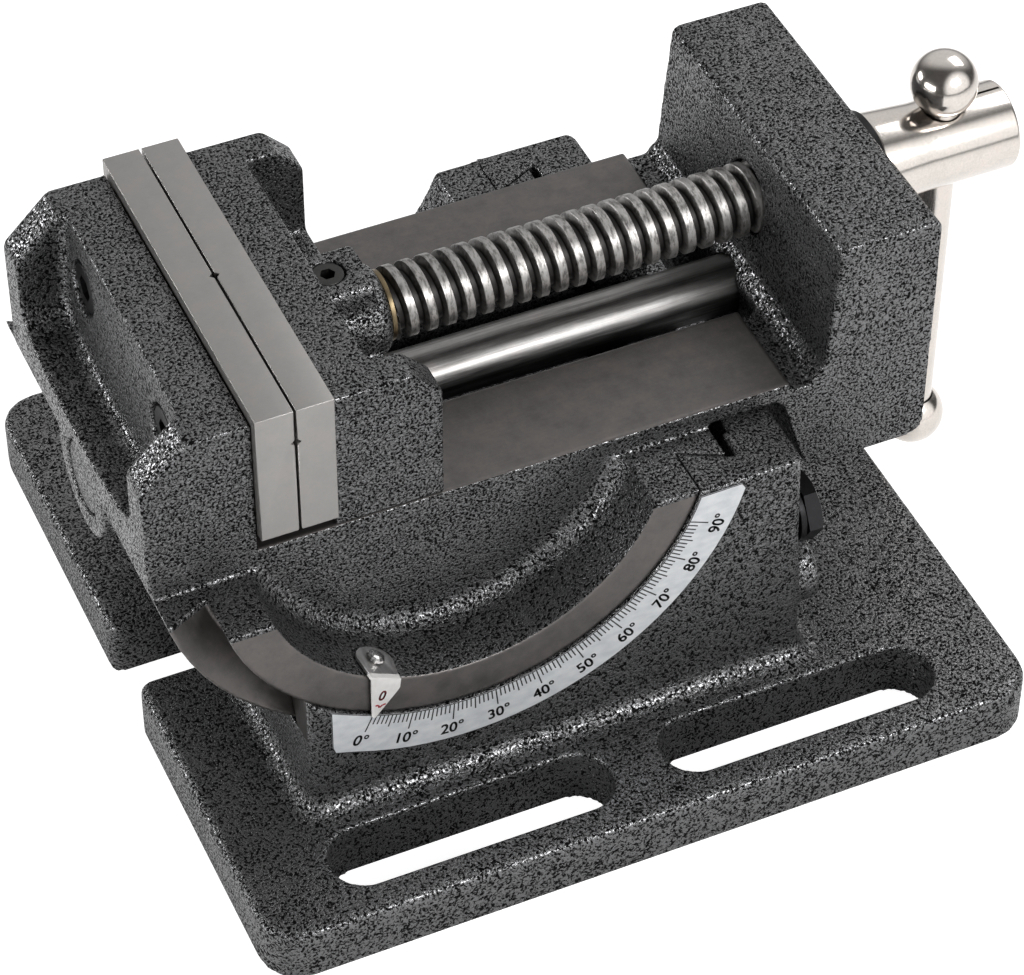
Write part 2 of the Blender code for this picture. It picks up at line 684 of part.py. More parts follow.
def drum_tops():
    """What is cut off the turned drum to leave its lower half."""
    reach = DRUM_RADIUS + OVERRUN
    left, right = TILT_X - reach, TILT_X + reach
    top = TILT_HEIGHT + reach
    far = DRUM_WIDTH / 2 + OVERRUN
    middle_z = (SLAB_Z + WAY_Z) / 2
    tools = [box("drum_top", (left, -far, middle_z), (right, far, top))]
    for side in (-1, 1):
        low_y, high_y = sorted((side * BODY_WIDTH / 2, side * far))
        tools.append(box(f"drum_shoulder_{side}", (left, low_y, CRADLE_TOP), (right, high_y, top)))
    return tools


def jaw_pocket():
    """The hollow behind the fixed jaw's face, open to the left and above. Its back wall leans."""
    half = POCKET_WIDTH / 2
    floor = POCKET_FLOOR_Z
    sag_half = half - POCKET_FILLET
    radius = (sag_half ** 2 + POCKET_SAG ** 2) / (2 * POCKET_SAG)
    spread = math.degrees(math.asin(sag_half / radius))
    low = floor - POCKET_SAG + radius
    top = JAW_TOP + OVERRUN
    corner_z = floor + POCKET_FILLET
    outline = arc((-sag_half, corner_z), POCKET_FILLET, 180, 270, ARC_STEPS)
    outline += arc((0, low), radius, 270 - spread, 270 + spread, 8)[1:-1]
    outline += arc((sag_half, corner_z), POCKET_FILLET, 270, 360, ARC_STEPS)
    outline += [(half, top), (-half, top)]
    back = BODY_LEFT + POCKET_DEPTH
    lean = POCKET_LEAN / (JAW_TOP - floor)
    mouth_loop = [Vector((BODY_LEFT - OVERRUN, y, z)) for y, z in outline]
    back_loop = [Vector((back + lean * (z - floor), y, z)) for y, z in outline]
    pocket = loft("jaw_pocket", [mouth_loop, back_loop])
    soften = pocket.modifiers.new("inner_edge", "BEVEL")
    soften.width = POCKET_EDGE
    soften.segments = 2
    soften.limit_method = "ANGLE"
    soften.angle_limit = math.radians(60)
    return pocket


def plate_screw_hole(name, seat_x, mouth_x, tip_x, y):
    """Counterbored hole for one jaw plate screw, which enters from mouth_x."""
    start = mouth_x - math.copysign(OVERRUN, seat_x - mouth_x)
    wide = PLATE_SCREW_HEAD_RADIUS + COUNTERBORE_CLEARANCE
    narrow = PLATE_SCREW_RADIUS + FIT
    profile = [(start, 0), (start, wide), (seat_x, wide), (seat_x, narrow), (tip_x, narrow),
               (tip_x, 0)]
    return turned(name, profile, "X", (0, y, PLATE_SCREW_Z), None, SMALL_STEPS)


def block_taper(name, side, block_high):
    """Draft on one side of the end block, from the ways up."""
    half = BODY_WIDTH / 2
    low = WAY_Z + FIT
    high = WAY_Z + BLOCK_HEIGHT
    slope = BLOCK_INSET / (high - low)
    outline = [(side * (half + slope * OVERRUN), low - OVERRUN), (side * (half + OVERRUN), low - OVERRUN),
               (side * (half + OVERRUN), high + OVERRUN),
               (side * (half - BLOCK_INSET - slope * OVERRUN), high + OVERRUN)]
    return prism(name, outline, "X", BLOCK_INNER_X - BLOCK_LEAN, block_high)


def body_cutters():
    """Slot between the ways, the bores for screw and guide rod, and the jaw plate's screws."""
    block_low, block_high = BLOCK_INNER_X - OVERRUN, BLOCK_OUTER_X + OVERRUN
    slot_left = GRIP_X + WAY_SLOT_FROM_GRIP
    slot_right = BLOCK_INNER_X - BLOCK_FOOT_FILLET
    slot_outline = rounded([
        (slot_left, -WAY_SLOT_WIDTH / 2, BLOCK_FOOT_FILLET),
        (slot_right, -WAY_SLOT_WIDTH / 2, BLOCK_FOOT_FILLET),
        (slot_right, WAY_SLOT_WIDTH / 2, BLOCK_FOOT_FILLET),
        (slot_left, WAY_SLOT_WIDTH / 2, BLOCK_FOOT_FILLET),
    ])
    tools = [prism("way_slot", slot_outline, "Z", WAY_Z - WAY_SLOT_DEPTH, WAY_Z + OVERRUN)]
    tools.append(rod("screw_bore", SCREW_RADIUS + FIT, "X", (0, 0, SCREW_Z), block_low, block_high))
    wide = ROD_HEAD_RADIUS + ROD_HEAD_CLEARANCE
    narrow = ROD_RADIUS + FIT
    shoulder = BODY_LEFT + ROD_HEAD_SINK + ROD_HEAD_LENGTH + FIT
    profile = [(BODY_LEFT - OVERRUN, 0), (BODY_LEFT - OVERRUN, wide), (shoulder, wide),
               (shoulder, narrow), (block_high, narrow), (block_high, 0)]
    tools.append(turned("rod_bore", profile, "X", (0, 0, ROD_Z)))
    for side in (-1, 1):
        tools.append(block_taper(f"block_side_{side}", side, block_high))
        seat = POCKET_SCREW_X + PLATE_SCREW_SINK + PLATE_SCREW_HEAD_LENGTH + FIT
        tools.append(plate_screw_hole(f"fixed_screw_hole_{side}", seat, POCKET_SCREW_X,
                                      FIXED_FACE_X + OVERRUN, side * PLATE_SCREW_SPACING / 2))
    return tools


def vise_body(finish):
    half = BODY_WIDTH / 2
    body = prism("vise_body", body_outline(), "Y", -half, half, finish)
    half_drum = drum()
    cut(half_drum, *drum_tops())
    rod_boss = rod("rod_boss", ROD_BOSS_RADIUS, "X", (0, 0, ROD_Z), BODY_LEFT,
                   BODY_LEFT + ROD_BOSS_LENGTH)
    join(body, half_drum, rod_boss)
    cut(body, jaw_pocket(), *body_cutters(), rivet_hole("drum_rivet_hole"))
    return body


# Jaw plates and their screws

def jaw_plate(name, grip_x, back_x, finish):
    """Ground plate with a level and an upright groove in its gripping face."""
    low, high = PLATE_TOP - JAW_PLATE_HEIGHT, PLATE_TOP
    groove_z = high - GROOVE_BELOW_TOP
    way = 1 if back_x > grip_x else -1
    outline = [(grip_x, low), (back_x, low), (back_x, high), (grip_x, high),
               (grip_x, groove_z + GROOVE_WIDTH / 2), (grip_x + way * GROOVE_DEPTH, groove_z),
               (grip_x, groove_z - GROOVE_WIDTH / 2)]
    half = JAW_PLATE_LENGTH / 2
    plate = prism(name, outline, "Y", -half, half, finish)
    vee = [(grip_x - way * GROOVE_DEPTH, GROOVE_WIDTH), (grip_x - way * GROOVE_DEPTH, -GROOVE_WIDTH),
           (grip_x + way * GROOVE_DEPTH, 0)]
    tools = [prism(f"{name}_vee", vee, "Z", low - OVERRUN, high + OVERRUN)]
    tip = back_x - way * (PLATE_SCREW_BITE + FIT)
    bore_low, bore_high = sorted((tip, back_x + way * OVERRUN))
    for side in (-1, 1):
        centre = (0, side * PLATE_SCREW_SPACING / 2, PLATE_SCREW_Z)
        tools.append(rod(f"{name}_bore_{side}", PLATE_SCREW_RADIUS + FIT, "X", centre, bore_low,
                         bore_high, None, SMALL_STEPS))
    cut(plate, *tools)
    return plate


def plate_screw(name, seat_x, tip_x, y, finish):
    """Socket head cap screw from its head's seat to its tip."""
    way = 1 if tip_x > seat_x else -1
    outer = seat_x - way * (PLATE_SCREW_HEAD_LENGTH + FIT)
    under = seat_x - way * FIT
    edge = PLATE_SCREW_HEAD_EDGE
    profile = [(outer, 0), (outer, PLATE_SCREW_HEAD_RADIUS - edge),
               (outer + way * edge, PLATE_SCREW_HEAD_RADIUS), (under, PLATE_SCREW_HEAD_RADIUS),
               (under, PLATE_SCREW_RADIUS), (tip_x, PLATE_SCREW_RADIUS), (tip_x, 0)]
    centre = (0, y, PLATE_SCREW_Z)
    screw = turned(name, profile, "X", centre, finish, SMALL_STEPS)
    low, high = sorted((outer - way * OVERRUN, outer + way * PLATE_SCREW_SOCKET_DEPTH))
    socket = prism(f"{name}_socket", hexagon(PLATE_SCREW_SOCKET), "X", low, high)
    socket.location = centre
    cut(screw, socket)
    return screw


# Pointer

def pointer_place():
    """Frame whose X runs round the drum, -Z outward from its axis, at the scale's zero."""
    turn = Matrix.Rotation(math.radians(-POINTER_ANGLE), 4, "Y")
    return Matrix.Translation((TILT_X, 0, TILT_HEIGHT)) @ turn


def tab_middle_y():
    return -DRUM_WIDTH / 2 + POINTER_TAB_LENGTH - POINTER_WIDTH / 2


def rivet_hole(name):
    """The rivet's hole, for the drum or for the pointer's tab."""
    depth = -BAND_INNER_RADIUS - RIVET_DEPTH - FIT
    height = -BAND_INNER_RADIUS + OVERRUN
    hole = rod(name, RIVET_RADIUS + FIT, "Z", (0, 0, 0), depth, height, None, RIVET_STEPS)
    hole.matrix_world = pointer_place() @ Matrix.Translation((0, tab_middle_y(), 0))
    return hole


def pointer(finish):
    """Bent strip: a round tab inside the band and a tapered blade over the band's face."""
    half = POINTER_WIDTH / 2
    tab_top = -BAND_INNER_RADIUS + FIT + FIT + POINTER_THICKNESS
    tab_under = tab_top - POINTER_THICKNESS
    front = -DRUM_WIDTH / 2 - FIT - POINTER_THICKNESS
    tab_end = tab_middle_y()
    tab_outline = [(-half, front), (half, front)] + arc((0, tab_end), half, 0, 180, 10)
    tab = prism("angle_pointer", tab_outline, "Z", tab_under, tab_top, finish)
    tip = -BAND_RADIUS + POINTER_TIP_GAP
    tip_x = -tip * math.tan(math.radians(POINTER_TIP_ANGLE - POINTER_ANGLE))
    tip_half = POINTER_TIP_WIDTH / 2
    blade_outline = rounded([
        (-half, tab_top, 0), (tip_x - tip_half, tip, 0), (tip_x + tip_half, tip, 0),
        (half + POINTER_SHOULDER_SPREAD, tab_top - POINTER_SHOULDER_DROP, POINTER_WIDTH / 4),
        (half, tab_top, 0)])
    blade = prism("pointer_blade", blade_outline, "Y", front, front + POINTER_THICKNESS)
    for item in (tab, blade):
        item.matrix_world = pointer_place()
    join(tab, blade)
    cut(tab, rivet_hole("pointer_rivet_hole"))
    return tab


def pointer_rivet(finish):
    """Dome head on the tab, shank into the drum."""
    seat = -BAND_INNER_RADIUS + FIT + FIT + POINTER_THICKNESS + FIT
    dome = [(seat + RIVET_HEAD_HEIGHT * share, RIVET_HEAD_RADIUS * math.sqrt(1 - share * share))
            for share in RIVET_DOME_SHARES]
    profile = [(-BAND_INNER_RADIUS - RIVET_DEPTH, 0), (-BAND_INNER_RADIUS - RIVET_DEPTH, RIVET_RADIUS),
               (seat, RIVET_RADIUS)] + dome + [(seat + RIVET_HEAD_HEIGHT, 0)]
    rivet = turned("pointer_rivet", profile, "Z", (0, 0, 0), finish, RIVET_STEPS)
    rivet.matrix_world = pointer_place() @ Matrix.Translation((0, tab_middle_y(), 0))
    return rivet


# Guide rod

def guide_rod(finish):
    """Round rod with a flat head in the boss under the fixed jaw."""
    low = BODY_LEFT + ROD_HEAD_SINK
    under = low + ROD_HEAD_LENGTH
    high = BLOCK_OUTER_X - FIT
    profile = [(low, 0), (low, ROD_HEAD_RADIUS), (under, ROD_HEAD_RADIUS), (under, ROD_RADIUS),
               (high - ROD_EDGE, ROD_RADIUS), (high, ROD_RADIUS - ROD_EDGE), (high, 0)]
    return turned("guide_rod", profile, "X", (0, 0, ROD_Z), finish)


# Moving jaw

def moving_jaw(finish):
    """Casting with two ears, a screw boss with a flat pad, and a keel on the guide rod."""
    half = BODY_WIDTH / 2
    foot = WAY_Z + FIT
    ear_x = MOVING_FACE_X + MOVING_EAR_REACH
    wall_x = MOVING_FACE_X + MOVING_WALL
    ear_outline = rounded([
        (MOVING_FACE_X, foot, 0), (MOVING_FACE_X, JAW_TOP, JAW_FACE_ROUND),
        (ear_x - MOVING_EAR_CHAMFER, JAW_TOP, JAW_ROUND),
        (ear_x, JAW_TOP - MOVING_EAR_CHAMFER, JAW_ROUND), (ear_x, foot, JAW_FACE_ROUND),
    ])
    jaw = prism("moving_jaw", ear_outline, "Y", -half, half, finish)
    past_x = ear_x + OVERRUN
    inner = half - MOVING_EAR_THICKNESS
    ledge = foot + MOVING_FOOT_HEIGHT
    recess_outline = rounded([(wall_x, ledge, MOVING_FILLET), (wall_x, JAW_TOP + OVERRUN, 0),
                              (past_x, JAW_TOP + OVERRUN, 0), (past_x, ledge, 0)])
    cut(jaw, prism("jaw_recess", recess_outline, "Y", -inner, inner))
    into_wall = MOVING_FACE_X + MOVING_WALL / 2
    boss = [(into_wall, 0), (into_wall, SCREW_BOSS_RADIUS),
            (SCREW_BOSS_END - SCREW_BOSS_EDGE, SCREW_BOSS_RADIUS),
            (SCREW_BOSS_END, SCREW_BOSS_RADIUS - SCREW_BOSS_EDGE), (SCREW_BOSS_END, 0)]
    boss = turned("screw_boss", boss, "X", (0, 0, SCREW_Z))
    pad_half = PAD_WIDTH / 2
    pad_top = SCREW_Z + PAD_ABOVE_SCREW
    pad_outline = rounded([(-pad_half, SCREW_Z, 0), (pad_half, SCREW_Z, 0),
                           (pad_half, pad_top, JAW_ROUND), (-pad_half, pad_top, JAW_ROUND)])
    pad = prism("screw_pad", pad_outline, "X", into_wall, MOVING_FACE_X + PAD_REACH)
    keel = box("keel", (MOVING_FACE_X + FIT, -KEEL_WIDTH / 2, KEEL_LOW_Z),
               (MOVING_FACE_X + KEEL_LENGTH, KEEL_WIDTH / 2, foot + MOVING_FOOT_HEIGHT / 2))
    join(jaw, boss, pad, keel)
    cut(jaw, *moving_jaw_cutters())
    return jaw


def set_screw_x():
    return SCREW_BOSS_END - JOURNAL_LENGTH / 2


def moving_jaw_cutters():
    """Bores for the guide rod, the journal, its retaining screw and the plate's screws."""
    low = MOVING_FACE_X - OVERRUN
    high = MOVING_FACE_X + SCREW_BOSS_REACH + OVERRUN
    tools = [rod("keel_bore", ROD_RADIUS + FIT, "X", (0, 0, ROD_Z), low, high)]
    journal_end = SCREW_BOSS_END - JOURNAL_LENGTH - FIT - FIT
    tools.append(rod("journal_bore", JOURNAL_RADIUS + FIT, "X", (0, 0, SCREW_Z), journal_end, high))
    tools.append(rod("set_screw_bore", SET_SCREW_RADIUS + FIT, "Z", (set_screw_x(), 0, 0), SCREW_Z,
                     SCREW_Z + PAD_ABOVE_SCREW + OVERRUN, None, SMALL_STEPS))
    mouth = MOVING_FACE_X + MOVING_WALL
    seat = mouth - PLATE_SCREW_SINK - PLATE_SCREW_HEAD_LENGTH - FIT
    for side in (-1, 1):
        tools.append(plate_screw_hole(f"moving_screw_hole_{side}", seat, mouth,
                                      MOVING_FACE_X - OVERRUN, side * PLATE_SCREW_SPACING / 2))
    return tools


def retaining_screw(finish):
    """Socket set screw whose dog point runs in the journal's groove."""
    top = SCREW_Z + PAD_ABOVE_SCREW - SET_SCREW_SINK
    shoulder = top - SET_SCREW_LENGTH
    tip = SCREW_Z + JOURNAL_GROOVE_RADIUS + FIT
    profile = [(tip, 0), (tip, SET_SCREW_TIP_RADIUS), (shoulder, SET_SCREW_TIP_RADIUS),
               (shoulder, SET_SCREW_RADIUS), (top, SET_SCREW_RADIUS), (top, 0)]
    centre = (set_screw_x(), 0, 0)
    screw = turned("retaining_screw", profile, "Z", centre, finish, SMALL_STEPS)
    socket = prism("retaining_socket", hexagon(SET_SCREW_SOCKET), "Z", top - SET_SCREW_SOCKET_DEPTH,
                   top + OVERRUN)
    socket.location = centre
    cut(screw, socket)
    return screw


def thrust_ring(finish):
    """Bronze ring between the jaw's boss and the screw's first thread."""
    low = SCREW_BOSS_END + FIT
    high = low + THRUST_RING_THICKNESS
    inner = JOURNAL_RADIUS + FIT
    profile = [(low, inner), (low, THRUST_RING_RADIUS), (high, THRUST_RING_RADIUS), (high, inner)]
    return turned("thrust_ring", profile, "X", (0, 0, SCREW_Z), finish)


# Lead screw

def thread(name, start, end, finish):
    """Right-hand trapezoid thread along X, built along its helix and longer than start to end."""
    flank_share = (1 - SCREW_CREST_SHARE - SCREW_ROOT_SHARE) / 2
    shares = [0, SCREW_ROOT_SHARE, SCREW_ROOT_SHARE + flank_share, 1 - flank_share]
    radii = [SCREW_ROOT_RADIUS, SCREW_ROOT_RADIUS, SCREW_RADIUS, SCREW_RADIUS]
    turns = math.ceil((end - start) / SCREW_PITCH) + SCREW_SPARE_TURNS - 1
    first = end + SCREW_PITCH - turns * SCREW_PITCH
    builder = bmesh.new()
    rows = []
    for line in range(4 * turns + 1):
        share, radius = shares[line % 4], radii[line % 4]
        row = []
        for step in range(THREAD_STEPS):
            angle = 2 * math.pi * step / THREAD_STEPS
            along = first + SCREW_PITCH * (line // 4 + share + step / THREAD_STEPS)
            row.append(builder.verts.new((along, radius * math.cos(angle), radius * math.sin(angle))))
        rows.append(row)
    lines = len(rows)
    for line in range(lines - 1):
        for step in range(THREAD_STEPS - 1):
            builder.faces.new((rows[line][step], rows[line][step + 1],
                               rows[line + 1][step + 1], rows[line + 1][step]))
        if line + 5 < lines:
            builder.faces.new((rows[line][-1], rows[line + 4][0], rows[line + 5][0],
                               rows[line + 1][-1]))
    left_hub = builder.verts.new((first - SCREW_PITCH, 0, 0))
    left_rim = rows[0] + [rows[line][0] for line in (4, 3, 2, 1)]
    right_hub = builder.verts.new((first + SCREW_PITCH * (turns + 2), 0, 0))
    right_rim = list(reversed(rows[-1])) + [rows[line][-1] for line in range(lines - 5, lines - 1)]
    for hub, rim in ((left_hub, left_rim), (right_hub, right_rim)):
        for index, vertex in enumerate(rim):
            builder.faces.new((hub, rim[(index + 1) % len(rim)], vertex))
    screw = make_object(name, builder, finish)
    screw.location = (0, 0, SCREW_Z)
    return screw


def lead_screw(finish):
    """Thread turned down to a grooved journal at the jaw and to a plain tenon for the head."""
    nose = SCREW_BOSS_END - JOURNAL_LENGTH
    tenon_end = THREAD_END + TENON_LENGTH
    screw = thread("lead_screw", nose, tenon_end, finish)
    wide = SCREW_RADIUS + OVERRUN
    far_left = nose - SCREW_SPARE_TURNS * SCREW_PITCH
    far_right = tenon_end + SCREW_SPARE_TURNS * SCREW_PITCH
    groove_low = set_screw_x() - JOURNAL_GROOVE_WIDTH / 2
    groove_high = set_screw_x() + JOURNAL_GROOVE_WIDTH / 2
    journal = [(far_left, 0), (far_left, wide), (THREAD_START + wide - SCREW_ROOT_RADIUS, wide),
               (THREAD_START, SCREW_ROOT_RADIUS), (THREAD_START, JOURNAL_RADIUS),
               (groove_high, JOURNAL_RADIUS), (groove_high, JOURNAL_GROOVE_RADIUS),
               (groove_low, JOURNAL_GROOVE_RADIUS), (groove_low, JOURNAL_RADIUS),
               (nose, JOURNAL_RADIUS), (nose, 0)]
    tenon = [(far_right, 0), (far_right, wide), (THREAD_END, wide), (THREAD_END, TENON_RADIUS),
             (tenon_end, TENON_RADIUS), (tenon_end, 0)]
    centre = (0, 0, SCREW_Z)
    cut(screw, turned("journal_turning", journal, "X", centre, None, THREAD_STEPS),
        turned("tenon_turning", tenon, "X", centre, None, THREAD_STEPS))
    return screw


def screw_collar(finish):
    low, high = COLLAR_START, COLLAR_START + COLLAR_THICKNESS
    inner = TENON_RADIUS + FIT
    profile = [(low, inner), (low, COLLAR_RADIUS), (high, COLLAR_RADIUS), (high, inner)]
    return turned("screw_collar", profile, "X", (0, 0, SCREW_Z), finish)


def screw_head(finish):
    """Plated sleeve on the screw's tenon, cross bored for the handle."""
    socket_end = THREAD_END + TENON_LENGTH + FIT
    bore = TENON_RADIUS + FIT
    profile = [(socket_end, 0), (socket_end, bore), (HEAD_START, bore),
               (HEAD_START, HEAD_RADIUS - HEAD_EDGE), (HEAD_START + HEAD_EDGE, HEAD_RADIUS),
               (HEAD_END - HEAD_EDGE, HEAD_RADIUS), (HEAD_END, HEAD_RADIUS - HEAD_EDGE),
               (HEAD_END, 0)]
    head = turned("screw_head", profile, "X", (0, 0, SCREW_Z), finish)
    reach = HEAD_RADIUS + OVERRUN
    cut(head, rod("handle_bore", HANDLE_BORE_RADIUS, "Z", (HANDLE_X, 0, SCREW_Z), -reach, reach,
                  None, SMALL_STEPS))
    return head


# Handle

def handle_bar(finish):
    """Round bar that ends inside the two balls."""
    past = BALL_SOCKET_PAST_MIDDLE + FIT
    return rod("handle_bar", HANDLE_RADIUS, "Z", (HANDLE_X, 0, 0), BALL_BOTTOM_Z + past,
               BALL_TOP_Z - past, finish, SMALL_STEPS)


def handle_ball(name, height, way, finish):
    """Ball with a socket for the bar, which comes from the side given by way."""
    open_angle = math.degrees(math.asin(HANDLE_BORE_RADIUS / HANDLE_BALL_RADIUS))
    sphere = arc((0, 0), HANDLE_BALL_RADIUS, 180, open_angle, BALL_RINGS)
    floor = BALL_SOCKET_PAST_MIDDLE
    profile = [(-HANDLE_BALL_RADIUS, 0)] + sphere[1:] + [(floor, HANDLE_BORE_RADIUS), (floor, 0)]
    profile = [(way * along, radius) for along, radius in profile]
    return turned(name, profile, "Z", (HANDLE_X, 0, height), finish, SMALL_STEPS)


def main():
    clear_scene()
    paint = material("hammertone_paint", (0.09, 0.09, 0.095), 0.45, 0.3)
    ground = material("ground_steel", (0.42, 0.40, 0.38), 0.35, 1.0)
    steel = material("turned_steel", (0.30, 0.29, 0.28), 0.3, 1.0)
    black = material("black_oxide", (0.02, 0.02, 0.022), 0.4, 0.6)
    nickel = material("nickel_plate", (0.72, 0.68, 0.62), 0.12, 1.0)
    bronze = material("bronze", (0.45, 0.31, 0.14), 0.35, 1.0)
    label = material("scale_label", (0.75, 0.76, 0.77), 0.4, 0.4)

    base_casting(paint)
    angle_scale(label)
    for side, end in ((-1, "front"), (1, "rear")):
        lock_bolt(side, f"lock_bolt_{end}", black)
        lock_washer(side, f"lock_washer_{end}", black)

    tilt = empty("tilt_axis", (TILT_X, 0, TILT_HEIGHT))
    body = vise_body(paint)
    fixed_plate = jaw_plate("fixed_jaw_plate", GRIP_X, GRIP_X - JAW_PLATE_THICKNESS, ground)
    tilting = [body, fixed_plate, guide_rod(steel), pointer(label), pointer_rivet(steel)]

    slide = empty("jaw_slide", (MOVING_FACE_X, 0, SCREW_Z))
    moving_plate = jaw_plate("moving_jaw_plate", MOVING_GRIP_X, MOVING_GRIP_X + JAW_PLATE_THICKNESS,
                             ground)
    moving = [moving_jaw(paint), moving_plate, retaining_screw(black), thrust_ring(bronze)]

    fixed_seat = POCKET_SCREW_X + PLATE_SCREW_SINK + PLATE_SCREW_HEAD_LENGTH + FIT
    fixed_tip = GRIP_X - JAW_PLATE_THICKNESS + PLATE_SCREW_BITE
    moving_seat = (MOVING_FACE_X + MOVING_WALL - PLATE_SCREW_SINK - PLATE_SCREW_HEAD_LENGTH - FIT)
    moving_tip = MOVING_GRIP_X + JAW_PLATE_THICKNESS - PLATE_SCREW_BITE
    for side, end in ((-1, "front"), (1, "rear")):
        y = side * PLATE_SCREW_SPACING / 2
        tilting.append(plate_screw(f"fixed_plate_screw_{end}", fixed_seat, fixed_tip, y, black))
        moving.append(plate_screw(f"moving_plate_screw_{end}", moving_seat, moving_tip, y, black))

    spin = empty("screw_axis", (HANDLE_X, 0, SCREW_Z))
    turning = [lead_screw(steel), screw_collar(black), screw_head(nickel)]
    turning.append(handle_bar(nickel))
    turning.append(handle_ball("handle_ball_top", BALL_TOP_Z, -1, nickel))
    turning.append(handle_ball("handle_ball_bottom", BALL_BOTTOM_Z, 1, nickel))

    hang(slide, *moving, spin)
    hang(spin, *turning)
    hang(tilt, *tilting, slide)


main()
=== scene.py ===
"""Looks for the tilting drill press vise: rounded castings, turned pieces, printed scale, light."""

import json
import math

import bmesh
import bpy
import numpy
from mathutils import Matrix, Vector


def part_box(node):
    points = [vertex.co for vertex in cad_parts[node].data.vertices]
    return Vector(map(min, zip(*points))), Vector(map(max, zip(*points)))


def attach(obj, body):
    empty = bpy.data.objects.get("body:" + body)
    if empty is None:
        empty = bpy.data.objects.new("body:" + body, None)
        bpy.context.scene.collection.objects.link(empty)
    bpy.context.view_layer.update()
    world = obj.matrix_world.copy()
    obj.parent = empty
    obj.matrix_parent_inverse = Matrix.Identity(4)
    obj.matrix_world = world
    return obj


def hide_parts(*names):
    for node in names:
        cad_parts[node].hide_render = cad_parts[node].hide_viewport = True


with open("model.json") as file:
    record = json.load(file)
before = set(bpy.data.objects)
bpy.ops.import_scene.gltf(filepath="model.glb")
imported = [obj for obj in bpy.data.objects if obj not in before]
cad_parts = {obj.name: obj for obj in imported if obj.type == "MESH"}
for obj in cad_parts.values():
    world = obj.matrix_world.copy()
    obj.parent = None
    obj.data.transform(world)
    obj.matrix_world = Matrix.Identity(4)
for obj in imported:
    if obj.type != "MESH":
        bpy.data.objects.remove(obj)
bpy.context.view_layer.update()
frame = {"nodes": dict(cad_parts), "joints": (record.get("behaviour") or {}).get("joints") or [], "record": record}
NODES = frame["nodes"]
BODY_OF = {node: body for body, nodes in frame["record"]["behaviour"]["bodies"].items()
           for node in nodes}
JOINTS = {joint["name"]: joint for joint in frame["joints"]}
SLOT_OF = {part["node"]: part["material_slot"] for part in frame["record"]["subparts"]}

MM = 0.001

# Farther out than any piece, in metres
FAR = 1.0

# Camera, found by matching the photograph's edges
CAMERA_AT = (-0.28884, -0.65214, 0.74515)
CAMERA_AZIMUTH = 24.173
CAMERA_DROP = 44.890
CAMERA_ROLL = 0.154
CAMERA_LENS = 138.67
CAMERA_SENSOR = 36
CAMERA_NEAR = 0.05
CAMERA_FAR = 20

# Casting forms
VOXEL = 0.5 * MM
ROUND_PULL = 0.5
BASE_PASSES = 9
BODY_PASSES = 6

# Turned pieces: steps, how far corners are broken, room between a pin and its hole
TURN_STEPS = 96
FINE_STEPS = 64
SHANK_STEPS = 48
BALL_RINGS = 40
EDGE_ROUND = 0.25 * MM
END_ROUND = 0.5 * MM
PLAY = 0.3 * MM

# Edges that bend more than this many degrees are shaded sharp
SHARP_FLAT = 28
SHARP_TURNED = 32
SHARP_THREAD = 40
SHARP_HEX = 20

# Lead screw: the CAD's pitch, a thread with wider crests, plain ends, and the rings on it
PITCH = 4.9 * MM
THREAD_ROOT_DEPTH = 2.3 * MM
THREAD_ROOT_SHARE = 0.28
THREAD_CREST_SHARE = 0.47
THREAD_FILLET_SHARE = 0.022
THREAD_STEPS = 60
SCREW_JOURNAL = 6.3 * MM
SCREW_TENON = 6.6 * MM
COLLAR_BORE = 6.9 * MM
THRUST_BORE = 6.6 * MM
ROD_RADIUS = 7.5 * MM
ROD_HEAD_LENGTH = 3 * MM

# Cap screws, set screw and lock bolts
CAP_HEAD_LENGTH = 8 * MM
CAP_SHANK = 4 * MM
CAP_SOCKET = 6 * MM
CAP_SOCKET_DEPTH = 4 * MM
SET_THREAD_LENGTH = 7.5 * MM
SET_DOG = 2.1 * MM
SET_ROUND = 0.35 * MM
SET_SOCKET = 3.4 * MM
SET_SOCKET_DEPTH = 3 * MM
BOLT_FLATS = 16 * MM
BOLT_SHANK = 5 * MM
BOLT_CHAMFER = 1.2 * MM
BOLT_FACE_SHARE = 0.94
WASHER_BORE = 5.3 * MM

# Light round the object
WORLD_DIFFUSE = 0.07
WORLD_GLOSSY = 0.10
SKY_GLOSSY = 0.86
SKY_AT = (0.35, 0.6, 0.65)
SKY_EDGE = 0.45
SKY_CORE = 0.9
FRONT_GLOSSY = 1.4
FRONT_AT = (0.3, -0.85, 0.25)
FRONT_EDGE = 0.6
FRONT_CORE = 0.85
FLOOR_HALF = 3.0
FLOOR_TONE = (0.6, 0.6, 0.6)
FLOOR_SEEN = 0.93
FLOOR_GLOSSY = 0.85
FLOOR_FADE = 1.0
FLOOR_FAR = 0.15

# Lamps: place, target and size in metres, power in watts
LAMPS = {
    "front": ((0.36, -0.87, 0.68), (0, 0, 0.06), (0.45, 0.3), 8.2),
    "left": ((-1.0, -0.25, 0.32), (0, 0, 0.10), (0.7, 0.2), 7),
    "back": ((-0.80, 0.72, 0.31), (0, 0, 0.08), (0.4, 0.14), 3.5),
    "top": ((0.7, 0.25, 0.8), (0, 0, 0.06), (0.5, 0.5), 2.8),
}

# Head and collar: the head is a little thicker at the collar than at its free end
HEAD_FLARE = 1.0 * MM
HEAD_ROUND = 1.0 * MM
COLLAR_SPARE = 1.6 * MM
COLLAR_FLARE = 1.2 * MM

# Jaw plates: broken edges, the long lower ones rounded more
PLATE_ROUND = 1.1 * MM
PLATE_BREAK_SHARE = 0.2

